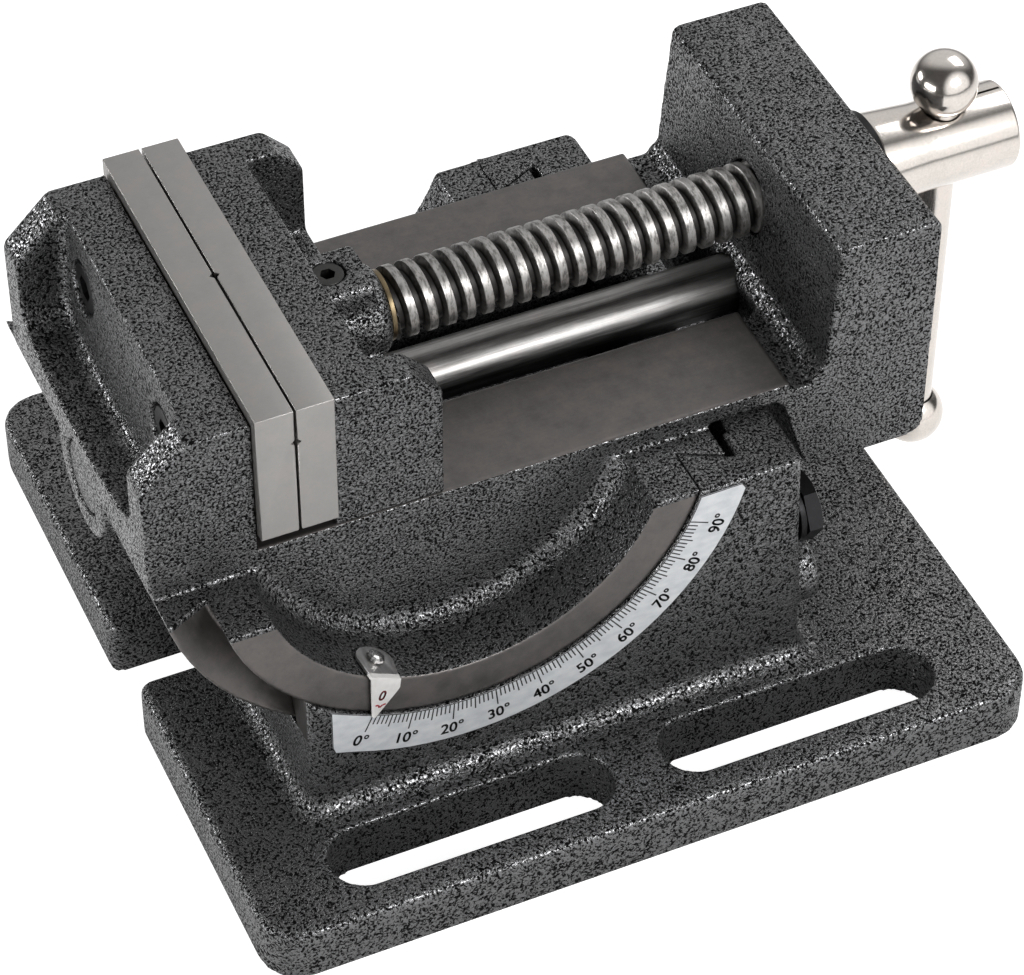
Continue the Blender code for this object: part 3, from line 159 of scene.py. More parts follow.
# Print on the angle scale: radii from the tilt axis, angles from straight down
SCALE_ZERO = -24.1
SCALE_SPAN = 90
TICK_START = 62.6 * MM
TICK_END = 65.4 * MM
TICK_END_FIVE = 66.4 * MM
TICK_END_TEN = 67.9 * MM
TICK_WIDTH = 0.36 * MM
NUMBER_RADIUS = 70.9 * MM
NUMBER_SIZE = 4.7 * MM
NUMBER_WIDTH = 0.95
NUMBER_BOLD = 0.08 * MM
PRINT_LIFT = 0.03 * MM
# The label's border line is partly print and partly painted shadow at the foil's edge.
BORDER_WIDTH = 0.22 * MM

# Label: a thin foil, its left end drawn out and cut at a slant
LABEL_INNER = 62.45 * MM
LABEL_FRONT = -67.15 * MM
LABEL_BACK = -67.0 * MM
LABEL_REACH = 0.9 * MM
LABEL_SLANT = 0.35 * MM
LABEL_END = 5 * MM
LABEL_EASE = 4 * MM

# Pointer: a wider tab, a blade further forward and longer, and the red marks on it
POINTER_ANGLE = -26.3
POINTER_THICK = 1 * MM
POINTER_REACH = 0.7 * MM
POINTER_BREAK = 0.1 * MM
BLADE_FORWARD = 0.7 * MM
BLADE_EASE = 5 * MM
TAB_SPREAD = 0.2
TAB_EASE = 3 * MM
MARK_ANGLE = SCALE_ZERO + 3
ZERO_RADIUS = 55.5 * MM
ZERO_SHIFT = 3.55 * MM
ZERO_SIZE = 4.4 * MM
ZERO_WIDTH = 0.8
CARET_DROP = 3.7 * MM
CARET_SHIFT = 0.5 * MM
CARET_THICK = 0.5 * MM
CARET_LEFT = ((-0.55 * MM, 0.75 * MM), (-1.25 * MM, 0.6 * MM))
CARET_RIGHT = ((0.55 * MM, 0.85 * MM), (1.3 * MM, 1.2 * MM))

# What the frame gives
TILT_X, _, TILT_Z = JOINTS["body_tilt"]["pos_m"]
TILT_AXIS = Vector((TILT_X, 0, TILT_Z))
SCREW_Z = JOINTS["screw_turn"]["pos_m"][2]
PLATE_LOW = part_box("fixed_jaw_plate")[0]
BODY_LOW, BODY_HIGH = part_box("vise_body")
JAW_LOW, JAW_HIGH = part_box("moving_jaw")
LABEL_LOW, LABEL_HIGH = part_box("angle_scale")
POINTER_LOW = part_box("angle_pointer")[0]
SCREW_LOW, SCREW_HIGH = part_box("lead_screw")
ROD_LOW, ROD_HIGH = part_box("guide_rod")
BAR_LOW, BAR_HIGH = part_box("handle_bar")
CAD_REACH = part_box("base_casting")[1].x
THREAD_CREST = SCREW_HIGH.z - SCREW_Z
THREAD_ROOT = THREAD_CREST - THREAD_ROOT_DEPTH
ROD_Z = (ROD_LOW.z + ROD_HIGH.z) / 2
BAR_RADIUS = (BAR_HIGH.x - BAR_LOW.x) / 2
WALL_Y = -LABEL_HIGH.y
BAND_Y = BODY_HIGH.y
WAY_HALF = JAW_HIGH.y

# Edges of the machined places, and how far they and their rims reach
WAY_Z = SCREW_Z - 18.3 * MM
BAND_RADIUS = 62.3 * MM
BAND_INNER = 51.3 * MM
DRUM_SHOULDER_Z = WAY_Z - 5.9 * MM
RELIEF_X = 56.4 * MM
DOVETAIL_Y = WAY_HALF + 3 * MM
DOVETAIL_REACH = 12 * MM
BORE_LOW_Z = 25 * MM
HOLD_MARGIN = 1.0 * MM
HOLD_RIM = 1.5 * MM
HOLD_THIN = 0.5 * MM
HOLD_LOW_Z = 20 * MM
HOLD_ABOVE = 9 * MM
SCREW_RIM = 11.5 * MM
ROD_RIM = 9 * MM


# Shader graphs

class Tree:
    """Short calls for the nodes of one node tree."""

    def __init__(self, tree):
        self.tree = tree

    def link(self, source, target):
        self.tree.links.new(source, target)

    def put(self, value, socket):
        """Link a socket to another one, or set a plain value on it."""
        if isinstance(value, bpy.types.NodeSocket):
            self.link(value, socket)
        else:
            socket.default_value = value

    def node(self, kind, **settings):
        made = self.tree.nodes.new(kind)
        for key, value in settings.items():
            setattr(made, key, value)
        return made

    def maths(self, operation, *values):
        made = self.node("ShaderNodeMath", operation=operation)
        for socket, value in zip(made.inputs, values):
            self.put(value, socket)
        return made.outputs[0]

    def rays(self):
        """1 for what the camera sees, also through glass, and 1 for glossy rays."""
        path = self.node("ShaderNodeLightPath")
        seen = self.maths("MAXIMUM", path.outputs["Is Camera Ray"],
                          path.outputs["Is Transmission Ray"])
        return seen, path.outputs["Is Glossy Ray"]


class Graph(Tree):
    """A material's node tree."""

    def __init__(self, name, base=(0.5, 0.5, 0.5), roughness=0.5, metallic=0.0):
        self.material = bpy.data.materials.new(name)
        self.material.use_nodes = True
        super().__init__(self.material.node_tree)
        self.shader = self.tree.nodes["Principled BSDF"]
        self.set("Base Color", (*base, 1))
        self.set("Roughness", roughness)
        self.set("Metallic", metallic)

    def set(self, socket, value):
        self.shader.inputs[socket].default_value = value

    def feed(self, socket, source):
        self.link(source, self.shader.inputs[socket])

    def place(self, stretch=(1, 1, 1)):
        """Object coordinates in metres, squeezed by stretch."""
        coords = self.node("ShaderNodeTexCoord")
        mapping = self.node("ShaderNodeMapping")
        mapping.inputs["Scale"].default_value = stretch
        self.link(coords.outputs["Object"], mapping.inputs["Vector"])
        return mapping.outputs["Vector"]

    def axes(self):
        """The object coordinates' X, Y and Z."""
        split = self.node("ShaderNodeSeparateXYZ")
        self.link(self.place(), split.inputs[0])
        return split.outputs[0], split.outputs[1], split.outputs[2]

    def noise(self, where, size, detail=2.0, roughness=0.5, distortion=0.0):
        """Noise whose features are about size metres across."""
        made = self.node("ShaderNodeTexNoise")
        self.link(where, made.inputs["Vector"])
        made.inputs["Scale"].default_value = 1 / size
        made.inputs["Detail"].default_value = detail
        made.inputs["Roughness"].default_value = roughness
        made.inputs["Distortion"].default_value = distortion
        return made.outputs["Fac"]

    def ramp(self, source, stops):
        """Colour ramp from (position, value or colour) stops."""
        made = self.node("ShaderNodeValToRGB")
        elements = made.color_ramp.elements
        while len(elements) < len(stops):
            elements.new(0.5)
        for element, (position, value) in zip(elements, stops):
            colour = value if isinstance(value, tuple) else (value, value, value)
            element.position = position
            element.color = (*colour, 1)
        self.link(source, made.inputs["Fac"])
        return made.outputs["Color"]

    def mix(self, factor, *pair):
        """Mixed colour. The factor and the two colours are sockets or plain values."""
        made = self.node("ShaderNodeMix", data_type="RGBA")
        self.put(factor, made.inputs[0])
        for socket, value in zip((made.inputs[6], made.inputs[7]), pair):
            if isinstance(value, float):
                value = (value, value, value)
            self.put((*value, 1) if isinstance(value, tuple) else value, socket)
        return made.outputs[2]

    def between(self, value, low, high):
        """1 where value lies from low to high, else 0."""
        return self.maths("COMPARE", value, (low + high) / 2, (high - low) / 2)

    def both(self, first, *others):
        for other in others:
            first = self.maths("MULTIPLY", first, other)
        return first

    def either(self, first, *others):
        for other in others:
            first = self.maths("MAXIMUM", first, other)
        return first

    def from_axis(self, first, second, centre_first, centre_second):
        """Distance from a line across the two axes given."""
        a = self.maths("SUBTRACT", first, centre_first)
        b = self.maths("SUBTRACT", second, centre_second)
        squares = self.maths("ADD", self.both(a, a), self.both(b, b))
        return self.maths("SQRT", squares)

    def bump(self, height, depth, strength, after=None):
        """Bump from a height socket that spans depth metres."""
        made = self.node("ShaderNodeBump")
        made.inputs["Strength"].default_value = strength
        made.inputs["Distance"].default_value = depth
        self.link(height, made.inputs["Height"])
        if after is not None:
            self.link(after, made.inputs["Normal"])
        return made.outputs["Normal"]


# Finishes

PAINT_DARK = (0.001, 0.001, 0.001)
PAINT_FLECK = (0.155, 0.155, 0.159)
PAINT_WORM = 0.66 * MM
PAINT_PATCH = 9 * MM
PAINT_UNEVEN = 0.08
PAINT_TONE = [(0.445, 0.0), (0.50, 0.5), (0.59, 1.0)]
PAINT_ROUGHNESS = [(0.0, 0.7), (0.5, 0.3), (1.0, 0.24)]
PAINT_HEIGHT = [(0.38, 0.0), (0.62, 1.0)]
PAINT_SHEEN = 0.85
PAINT_GLOSS = [(0.1, 0.05), (0.6, 0.9)]
PAINT_RELIEF = 0.13 * MM
PAINT_BUMP = 0.8

LINE_SIZE = 0.5 * MM
LINE_RELIEF = 0.02 * MM
LINE_BUMP = 0.3
CLOUD_SIZE = 7 * MM
MACHINED_METALLIC = 0.9
MACHINED_LINES = 0.25


def paint_layer(g):
    """Hammertone paint: grey flecks between black worm lines. Gives colour, roughness, height."""
    where = g.place()
    worms = g.noise(where, PAINT_WORM, detail=2.0, roughness=0.5, distortion=0.6)
    patches = g.noise(where, PAINT_PATCH, detail=1.0)
    lean = g.both(g.maths("SUBTRACT", patches, 0.5), PAINT_UNEVEN)
    level = g.maths("ADD", worms, lean)
    fleck = g.ramp(level, PAINT_TONE)
    colour = g.mix(fleck, PAINT_DARK, PAINT_FLECK)
    return colour, g.ramp(fleck, PAINT_ROUGHNESS), g.ramp(level, PAINT_HEIGHT)


def bare_layer(g, base, roughness, stretch, lined=0.5, spread=0.25):
    """Cut metal: fine lines along one direction over clouds. Gives colour, roughness, height."""
    lines = g.noise(g.place(stretch), LINE_SIZE, detail=3.0, roughness=0.6)
    clouds = g.noise(g.place(), CLOUD_SIZE, detail=6.0, roughness=0.8)
    dark = tuple(value * (1 - spread) for value in base)
    light = tuple(value * (1 + spread) for value in base)
    warm = (light[0], light[1] * 0.93, light[2] * 0.92)
    tone = g.mix(lined, g.ramp(clouds, [(0.34, dark), (0.52, base), (0.66, warm)]),
                 g.ramp(lines, [(0.3, dark), (0.7, light)]))
    return tone, g.ramp(lines, [(0.2, roughness * 0.8), (0.8, roughness * 1.25)]), lines


def finish_casting(g, machined, base, roughness, stretch):
    """Paint everywhere but where the mask says that the casting is machined."""
    paint, paint_rough, worms = paint_layer(g)
    metal_tone, metal_rough, lines = bare_layer(g, base, roughness, stretch, MACHINED_LINES)
    g.feed("Base Color", g.mix(machined, paint, metal_tone))
    g.feed("Roughness", g.mix(machined, paint_rough, metal_rough))
    painted = g.maths("SUBTRACT", 1.0, machined)
    sheen = g.both(worms, painted, PAINT_SHEEN)
    g.feed("Metallic", g.maths("ADD", sheen, g.both(machined, MACHINED_METALLIC)))
    g.feed("Specular IOR Level", g.ramp(g.either(worms, machined), PAINT_GLOSS))
    relief = g.bump(g.both(worms, painted), PAINT_RELIEF, PAINT_BUMP)
    g.feed("Normal", g.bump(g.both(lines, machined), LINE_RELIEF, LINE_BUMP, relief))
    return g.material


def painted_casting(name):
    """Paint all over."""
    g = Graph(name)
    paint, paint_rough, worms = paint_layer(g)
    g.feed("Base Color", paint)
    g.feed("Roughness", paint_rough)
    g.feed("Metallic", g.both(worms, PAINT_SHEEN))
    g.feed("Specular IOR Level", g.ramp(worms, PAINT_GLOSS))
    g.feed("Normal", g.bump(worms, PAINT_RELIEF, PAINT_BUMP))
    return g.material


def body_finish():
    """The vise body: machined ways, bands and dovetail, paint elsewhere."""
    g = Graph("body_casting")
    x, y, z = g.axes()
    side = g.maths("ABSOLUTE", y)
    radius = g.from_axis(x, z, TILT_X, TILT_Z)
    low = g.between(z, -FAR, DRUM_SHOULDER_Z - 1.4 * MM)
    ways = g.both(g.between(z, WAY_Z - 0.25 * MM, WAY_Z + 0.25 * MM),
                  g.between(x, PLATE_LOW.x, RELIEF_X), g.between(side, 0, WAY_HALF + 0.3 * MM))
    band = g.both(low, g.between(side, BAND_Y - 0.15 * MM, FAR),
                  g.between(radius, BAND_INNER - 0.1 * MM, FAR))
    dovetail = g.both(low, g.between(side, DOVETAIL_Y, FAR),
                      g.between(radius, BAND_RADIUS - 0.4 * MM, FAR))
    return finish_casting(g, g.either(ways, band, dovetail), (0.122, 0.114, 0.110), 0.40,
                          (0.08, 1, 0.08))


def cradle_finish():
    """The base casting: paint, with the bore that the drum rides in left bare."""
    g = Graph("base_casting_paint")
    x, y, z = g.axes()
    side = g.maths("ABSOLUTE", y)
    radius = g.from_axis(x, z, TILT_X, TILT_Z)
    bore = g.both(g.between(side, DOVETAIL_Y + 0.4 * MM, WALL_Y - 2.2 * MM),
                  g.between(radius, 0, BAND_RADIUS + DOVETAIL_REACH),
                  g.between(z, BORE_LOW_Z, LABEL_HIGH.z - 2 * MM))
    return finish_casting(g, bore, (0.045, 0.042, 0.04), 0.4, (0.1, 1, 0.1))


def metal(name, base, roughness, stretch=(1, 1, 1), scratch=0.25, spread=0.25):
    """Bare metal with lines drawn out where stretch is small."""
    g = Graph(name, metallic=1.0)
    tone, rough, lines = bare_layer(g, base, roughness, stretch, spread=spread)
    g.feed("Base Color", tone)
    g.feed("Roughness", rough)
    g.feed("Normal", g.bump(lines, LINE_RELIEF, scratch))
    return g.material


def thread_finish():
    """Turned steel with dark stains, its thread flanks and roots darkened as painted shade in the grooves."""
    g = Graph("thread_steel", metallic=0.75)
    _, y, z = g.axes()
    radius = g.from_axis(y, z, 0, SCREW_Z)
    height = g.maths("DIVIDE", g.maths("SUBTRACT", radius, THREAD_ROOT), THREAD_ROOT_DEPTH)
    tone, rough, _ = bare_layer(g, (0.34, 0.33, 0.32), 0.40, (1, 0.12, 0.12), 0.6)
    stains = g.noise(g.place((1, 0.35, 0.35)), 0.9 * MM, detail=4.0, roughness=0.65)
    tone = g.mix(g.ramp(stains, [(0.38, 0.8), (0.54, 0.0)]), tone, (0.07, 0.066, 0.062))
    smear = g.noise(g.place(), 2.5 * MM, detail=3.0)
    level = g.maths("ADD", height, g.both(g.maths("SUBTRACT", smear, 0.5), 0.25))
    # Painted shade: darker from the crests down the flanks, near black at the thread roots.
    painted_root_shade = g.ramp(level, [(0.12, 0.0), (0.42, 0.75), (0.8, 1.0)])
    g.feed("Base Color", g.mix(painted_root_shade, (0.03, 0.028, 0.027), tone))
    g.feed("Roughness", g.mix(painted_root_shade, 0.5, rough))
    g.feed("Normal", g.bump(stains, 0.08 * MM, 0.5))
    return g.material


def rod_finish():
    """Drawn rod whose head is painted over with the casting."""
    g = Graph("guide_rod_steel")
    x, _, _ = g.axes()
    head = g.between(x, -FAR, BODY_LOW.x + 4 * MM)
    paint, paint_rough, worms = paint_layer(g)
    tone, rough, _ = bare_layer(g, (0.24, 0.235, 0.23), 0.36, (0.05, 1, 1))
    drawn = g.noise(g.place((0.03, 1, 1)), 1.2 * MM, detail=5.0, roughness=0.7)
    tone = g.mix(g.ramp(drawn, [(0.38, 0.7), (0.56, 0.0)]), tone, (0.075, 0.07, 0.066))
    g.feed("Base Color", g.mix(head, tone, paint))
    g.feed("Roughness", g.mix(head, rough, paint_rough))
    g.feed("Metallic", g.maths("SUBTRACT", 1.0, head))
    relief = g.bump(g.both(worms, head), 0.4 * MM, 0.5)
    g.feed("Normal", g.bump(drawn, 0.05 * MM, 0.35, relief))
    return g.material


def pointer_finish():
    """White enamel on the blade, bare steel on the tab."""
    g = Graph("pointer_enamel")
    _, y, _ = g.axes()
    blade = g.between(y, -FAR, POINTER_LOW.y + 0.9 * MM)
    grime = g.noise(g.place(), 3 * MM, detail=4.0)
    white = g.ramp(grime, [(0.3, (0.70, 0.68, 0.66)), (0.6, (0.80, 0.785, 0.77))])
    tone, rough, _ = bare_layer(g, (0.80, 0.79, 0.78), 0.32, (1, 0.1, 1))
    g.feed("Base Color", g.mix(blade, tone, white))
    g.feed("Roughness", g.mix(blade, rough, 0.45))
    g.feed("Metallic", g.maths("SUBTRACT", 1.0, blade))
    g.feed("Normal", g.bump(grime, 0.05 * MM, 0.3))
    return g.material


def label_finish():
    """Satin silver label with faint dents and soiling."""
    g = Graph("scale_foil", metallic=0.35)
    dents = g.noise(g.place(), 7 * MM, detail=3.0, distortion=0.5)
    soil = g.noise(g.place((1, 1, 2)), 4 * MM, detail=4.0)
    tone = g.ramp(soil, [(0.35, (0.58, 0.60, 0.625)), (0.65, (0.69, 0.705, 0.72))])
    g.feed("Base Color", tone)
    g.feed("Roughness", g.ramp(dents, [(0.3, 0.42), (0.7, 0.52)]))
    g.feed("Normal", g.bump(dents, 0.3 * MM, 0.25))
    return g.material


def ink(name, colour):
    """Print, a little uneven."""
    g = Graph(name, roughness=0.55)
    patches = g.noise(g.place(), 1.5 * MM, detail=3.0)
    dark = tuple(value * 0.7 for value in colour)
    g.feed("Base Color", g.ramp(patches, [(0.35, dark), (0.65, colour)]))
    g.feed("Roughness", g.ramp(patches, [(0.3, 0.5), (0.7, 0.62)]))
    return g.material


GROUND = metal("ground_steel", (0.305, 0.296, 0.287), 0.45, (0.3, 1, 0.3), 0.08, 0.1)
RIVET = metal("rivet_steel", (0.55, 0.54, 0.53), 0.25)
BLACK = metal("black_oxide", (0.02, 0.02, 0.021), 0.45)
SET_SCREW = metal("worn_oxide", (0.055, 0.054, 0.053), 0.45)
NICKEL = metal("nickel_plate", (0.62, 0.58, 0.54), 0.15, (1, 1, 1), 0.03, 0.12)
BRONZE = metal("bronze", (0.16, 0.125, 0.075), 0.4, (1, 0.1, 0.1))
BLACK_INK = ink("black_ink", (0.012, 0.012, 0.013))
RED_INK = ink("red_ink", (0.32, 0.02, 0.03))

FINISH = {
    "base_casting": cradle_finish(), "vise_body": body_finish(),
    "moving_jaw": painted_casting("moving_jaw_paint"), "guide_rod": rod_finish(),
    "lead_screw": thread_finish(), "angle_pointer": pointer_finish(),
    "angle_scale": label_finish(), "thrust_ring": BRONZE, "pointer_rivet": RIVET,
    "fixed_jaw_plate": GROUND, "moving_jaw_plate": GROUND, "retaining_screw": SET_SCREW,
}
SLOT_FINISH = {"black_steel": BLACK, "nickel_plate": NICKEL}


def finish_of(node):
    return FINISH.get(node) or SLOT_FINISH[SLOT_OF[node]]


for name, node in NODES.items():
    for slot in node.material_slots:
        slot.material = finish_of(name)


# Mesh helpers

def add_object(name, mesh):
    item = bpy.data.objects.new(name, mesh)
    bpy.context.scene.collection.objects.link(item)
    return item


def mesh_of(builder, name):
    """The builder's faces as a mesh, turned outwards."""
    bmesh.ops.recalc_face_normals(builder, faces=builder.faces)
    mesh = bpy.data.meshes.new(name)
    builder.to_mesh(mesh)
    builder.free()
    return mesh


def settle(item):
    """Apply an object's modifiers to its mesh."""
    graph = bpy.context.evaluated_depsgraph_get()
    item.data = bpy.data.meshes.new_from_object(item.evaluated_get(graph))
    item.modifiers.clear()
    return item


def shade(item, degrees):
    """Shade a piece smooth, but for edges that bend more than the angle."""
    item.data.shade_smooth()
    item.data.set_sharp_from_angle(angle=math.radians(degrees))
    return item


def stand_for(item, node):
    """The piece takes a CAD node's place, motion and finish."""
    item.data.materials.clear()
    item.data.materials.append(finish_of(node))
    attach(item, BODY_OF[node])
    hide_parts(node)
    return item


def copy_solid(node, name):
    """The node's solid as a new object, its vertices joined up."""
    builder = bmesh.new()
    builder.from_mesh(NODES[node].data)
    bmesh.ops.remove_doubles(builder, verts=builder.verts, dist=0.001 * MM)
    mesh = bpy.data.meshes.new(name)
    builder.to_mesh(mesh)
    builder.free()
    return add_object(name, mesh)


def flat_copy(node, name):
    """The node's solid, each flat side one face."""
    item = copy_solid(node, name)
    thin = item.modifiers.new("flat", "DECIMATE")
    thin.decimate_type = "DISSOLVE"
    thin.angle_limit = math.radians(1)
    return settle(item)


def add_bevel(item, width, segments, method):
    change = item.modifiers.new("edges", "BEVEL")
    change.width = width
    change.segments = segments
    change.limit_method = method
    return change


def round_off(mesh, free, passes):
    """Relax a fine even mesh so that its edges and inner corners turn round where it is free."""
    count = len(mesh.vertices)
    places = numpy.empty(count * 3)
    mesh.vertices.foreach_get("co", places)
    places = places.reshape(-1, 3)
    share = free(places)[:, None] * ROUND_PULL
    ends = numpy.empty(len(mesh.edges) * 2, dtype=numpy.int64)
    mesh.edges.foreach_get("vertices", ends)
    first, second = ends.reshape(-1, 2).T
    here = numpy.concatenate([first, second])
    there = numpy.concatenate([second, first])
    neighbours = numpy.bincount(here, minlength=count)[:, None]
    for _ in range(passes):
        sums = [numpy.bincount(here, places[there, axis], count) for axis in range(3)]
        places += share * (numpy.stack(sums, 1) / neighbours - places)
    mesh.vertices.foreach_set("co", places.ravel())


def rounded_casting(node, free, passes):
    """A casting's visible form: the CAD solid on a fine even mesh with its edges rounded."""
    item = copy_solid(node, f"{node}_rounded")
    change = item.modifiers.new("even", "REMESH")
    change.mode = "VOXEL"
    change.voxel_size = VOXEL
    settle(item)
    round_off(item.data, free, passes)
    item.data.shade_smooth()
    return stand_for(item, node)


def softened(profile, radius, steps=3):
    """A profile whose corners off the axis are rounded."""
    result = []
    last = len(profile) - 1
    for index, point in enumerate(profile):
        if index in (0, last) or point[1] == 0:
            result.append(point)
            continue
        here = Vector(point)
        before = Vector(profile[index - 1]) - here
        after = Vector(profile[index + 1]) - here
        reach = min(radius, before.length / 2.1, after.length / 2.1)
        start = here + before.normalized() * reach
        end = here + after.normalized() * reach
        for step in range(steps + 1):
            share = step / steps
            point = start.lerp(here, share).lerp(here.lerp(end, share), share)
            result.append((point.x, point.y))
    return result


def to_axis(axis, along, a, b, centre):
    """A point given along the X or Z axis and across it, from centre."""
    if axis == "X":
        return Vector((along, centre[1] + a, centre[2] + b))
    return Vector((centre[0] + a, centre[1] + b, along))


def spun(name, profile, axis, centre, steps=TURN_STEPS, closed=False):
    """A profile of (along, radius) turned round an axis through centre."""
    builder = bmesh.new()
    rows = []
    for along, radius in profile:
        if radius == 0:
            rows.append([builder.verts.new(to_axis(axis, along, 0, 0, centre))])
            continue
        row = []
        for step in range(steps):
            angle = 2 * math.pi * step / steps
            row.append(builder.verts.new(to_axis(axis, along, radius * math.cos(angle),
                                                 radius * math.sin(angle), centre)))
        rows.append(row)
    pairs = list(zip(rows, rows[1:]))
    if closed:
        pairs.append((rows[-1], rows[0]))
    for first, second in pairs:
        for index in range(steps):
            after = (index + 1) % steps
            if len(first) == 1:
                builder.faces.new((first[0], second[after], second[index]))
            elif len(second) == 1:
                builder.faces.new((first[index], first[after], second[0]))
            else:
                builder.faces.new((first[index], first[after], second[after], second[index]))
    return shade(add_object(name, mesh_of(builder, name)), SHARP_TURNED)


def bar_profile(low, high, radius):
    """A closed profile of a plain bar."""
    return [(low, 0), (low, radius), (high, radius), (high, 0)]


def stepped_profile(low, step, high, first, second):
    """A closed profile of one radius up to a step and another one after it."""
    return [(low, 0), (low, first), (step, first), (step, second), (high, second), (high, 0)]


def hexagon_bar(name, flats, axis, low, high, centre):
    """A hexagonal bar along an axis."""
    bar = spun(name, bar_profile(low, high, flats / math.sqrt(3)), axis, centre, steps=6)
    bar.data.shade_flat()
    return bar


def combine(item, tool, operation):
    """Cut, join or cross a piece with a helper, and drop the helper."""
    change = item.modifiers.new("combine", "BOOLEAN")
    change.operation = operation
    change.solver = "EXACT"
    change.object = tool
    settle(item)
    bpy.data.objects.remove(tool, do_unlink=True)


def carve(item, tool):
    """Cut a helper out of a piece."""
    combine(item, tool, "DIFFERENCE")
    return shade(item, SHARP_TURNED)


def ratio(value, start, end):
    """How far value is on the way from start to end, from 0 to 1."""
    return min(1, max(0, (value - start) / (end - start)))


# Castings

def outside(*bands):
    """Turn masks of held places into how free each vertex is to move."""
    def free(places):
        held = numpy.zeros(len(places), dtype=bool)
        for band in bands:
            held |= band(places)
        return (~held).astype(float)
    return free


def axis_distance(places):
    """Distance from the axis that the body tilts about."""
    return numpy.hypot(places[:, 0] - TILT_X, places[:, 2] - TILT_Z)


def hold_ways(places):
    """The ways' top faces and the edges beside them."""
    x, _, z = places.T
    return ((z > WAY_Z - HOLD_MARGIN) & (z < WAY_Z + 0.3 * MM) & (x > PLATE_LOW.x)
            & (x < RELIEF_X + HOLD_RIM))


def hold_bands(places):
    """The drum's machined bands and dovetail, with the rims above them."""
    _, y, z = places.T
    side = numpy.abs(y)
    radius = axis_distance(places)
    low = z < DRUM_SHOULDER_Z - 1.2 * MM
    band = (side > BAND_Y - HOLD_MARGIN) & (radius > BAND_INNER - HOLD_MARGIN)
    dovetail = (side > DOVETAIL_Y) & (radius > BAND_RADIUS - HOLD_THIN)
    rim = ((z < DRUM_SHOULDER_Z + HOLD_THIN) & (side > WAY_HALF)
           & (radius > BAND_RADIUS - HOLD_RIM))
    return low & (band | dovetail) | rim


def hold_bore(places):
    """The cradle's bore, where the drum fits, and its rim."""
    _, y, z = places.T
    side = numpy.abs(y)
    radius = axis_distance(places)
    top = LABEL_HIGH.z
    rim = (side > WAY_HALF) & (radius < BAND_RADIUS + HOLD_RIM) & (z < top + HOLD_ABOVE)
    bore = ((side > WAY_HALF) & (side < WALL_Y - 1.2 * MM) & (z < top)
            & (radius < BAND_RADIUS + DOVETAIL_REACH + HOLD_THIN))
    return (bore | rim) & (z > HOLD_LOW_Z)


def hold_underside(places):
    return places[:, 2] < HOLD_THIN


def hold_jaw_face(places):
    """The moving jaw's back face and the sole of its foot."""
    x, _, z = places.T
    return (x < JAW_LOW.x + 0.6 * MM) | (z < WAY_Z + 0.8 * MM)


def hold_screw_bore(places):
    """The bores for the screw and the guide rod, and their rims."""
    x, y, z = places.T
    screw = numpy.hypot(y, z - SCREW_Z)
    rod = numpy.hypot(y, z - ROD_Z)
    return (x > 0) & ((screw < SCREW_RIM) | (rod < ROD_RIM))


def hold_lip(places):
    """The cradle's front lips round the bands and the print."""
    _, y, z = places.T
    return ((numpy.abs(y) > WALL_Y - 2 * MM) & (axis_distance(places) < BAND_RADIUS + 2.5 * MM)
            & (z < LABEL_HIGH.z - HOLD_MARGIN))


def hold_fixed_face(places):
    """The fixed jaw's face, which the plate is on."""
    x, _, z = places.T
    return (numpy.abs(x - PLATE_LOW.x) < 0.8 * MM) & (z > WAY_Z)


rounded_casting("base_casting", outside(hold_bore, hold_lip, hold_underside), BASE_PASSES)
rounded_casting("vise_body", outside(hold_ways, hold_bands, hold_fixed_face, hold_screw_bore),
                BODY_PASSES)
rounded_casting("moving_jaw", outside(hold_jaw_face), BODY_PASSES)


# Ground plates, pointer and label

def ground_plate(node):
    """Jaw plate with broken edges, its long lower edges rounded more."""
    item = flat_copy(node, f"{node}_ground")
    low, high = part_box(node)
    mesh = item.data
    weights = mesh.attributes.new("bevel_weight_edge", "FLOAT", "EDGE")
    for edge in mesh.edges:
        first, second = (mesh.vertices[index].co for index in edge.vertices)
        middle = (first + second) / 2
        on_x, on_y, on_z = (min(here - least, most - here) < 0.01 * MM
                            for here, least, most in zip(middle, low, high))
        if on_x and on_z and middle.z < (low.z + high.z) / 2:
            weights.data[edge.index].value = 1.0
        elif on_x + on_y + on_z == 2:
            weights.data[edge.index].value = PLATE_BREAK_SHARE
    change = add_bevel(item, PLATE_ROUND, 4, "WEIGHT")
    change.use_clamp_overlap = False
    return stand_for(shade(settle(item), SHARP_FLAT), node)


def arc_axes(degrees):
    """Along the scale's arc and in towards its middle, at an angle from straight down."""
    angle = math.radians(degrees)
    return (Vector((math.cos(angle), 0, math.sin(angle))),
            Vector((-math.sin(angle), 0, math.cos(angle))))


def wide_pointer():
    """The pointer with its round tab a little wider than the blade's top."""
    item = flat_copy("angle_pointer", "angle_pointer_beveled")
    change = add_bevel(item, POINTER_BREAK, 2, "ANGLE")
    change.angle_limit = math.radians(35)
    shade(settle(item), SHARP_FLAT)
    along, _ = arc_axes(POINTER_ANGLE)
    bend = POINTER_LOW.y + POINTER_THICK
    for vertex in item.data.vertices:
        share = ratio(vertex.co.y, bend, bend + TAB_EASE)
        share = share * share * (3 - 2 * share)
        vertex.co += along * ((vertex.co - TILT_AXIS).dot(along) * TAB_SPREAD * share)
        if vertex.co.y > bend:
            continue
        vertex.co.y -= BLADE_FORWARD
        down = Vector((vertex.co.x - TILT_X, 0, vertex.co.z - TILT_Z))
        low = ratio(down.length, ZERO_RADIUS, ZERO_RADIUS + BLADE_EASE)
        vertex.co += down.normalized() * POINTER_REACH * low
    return stand_for(item, "angle_pointer")


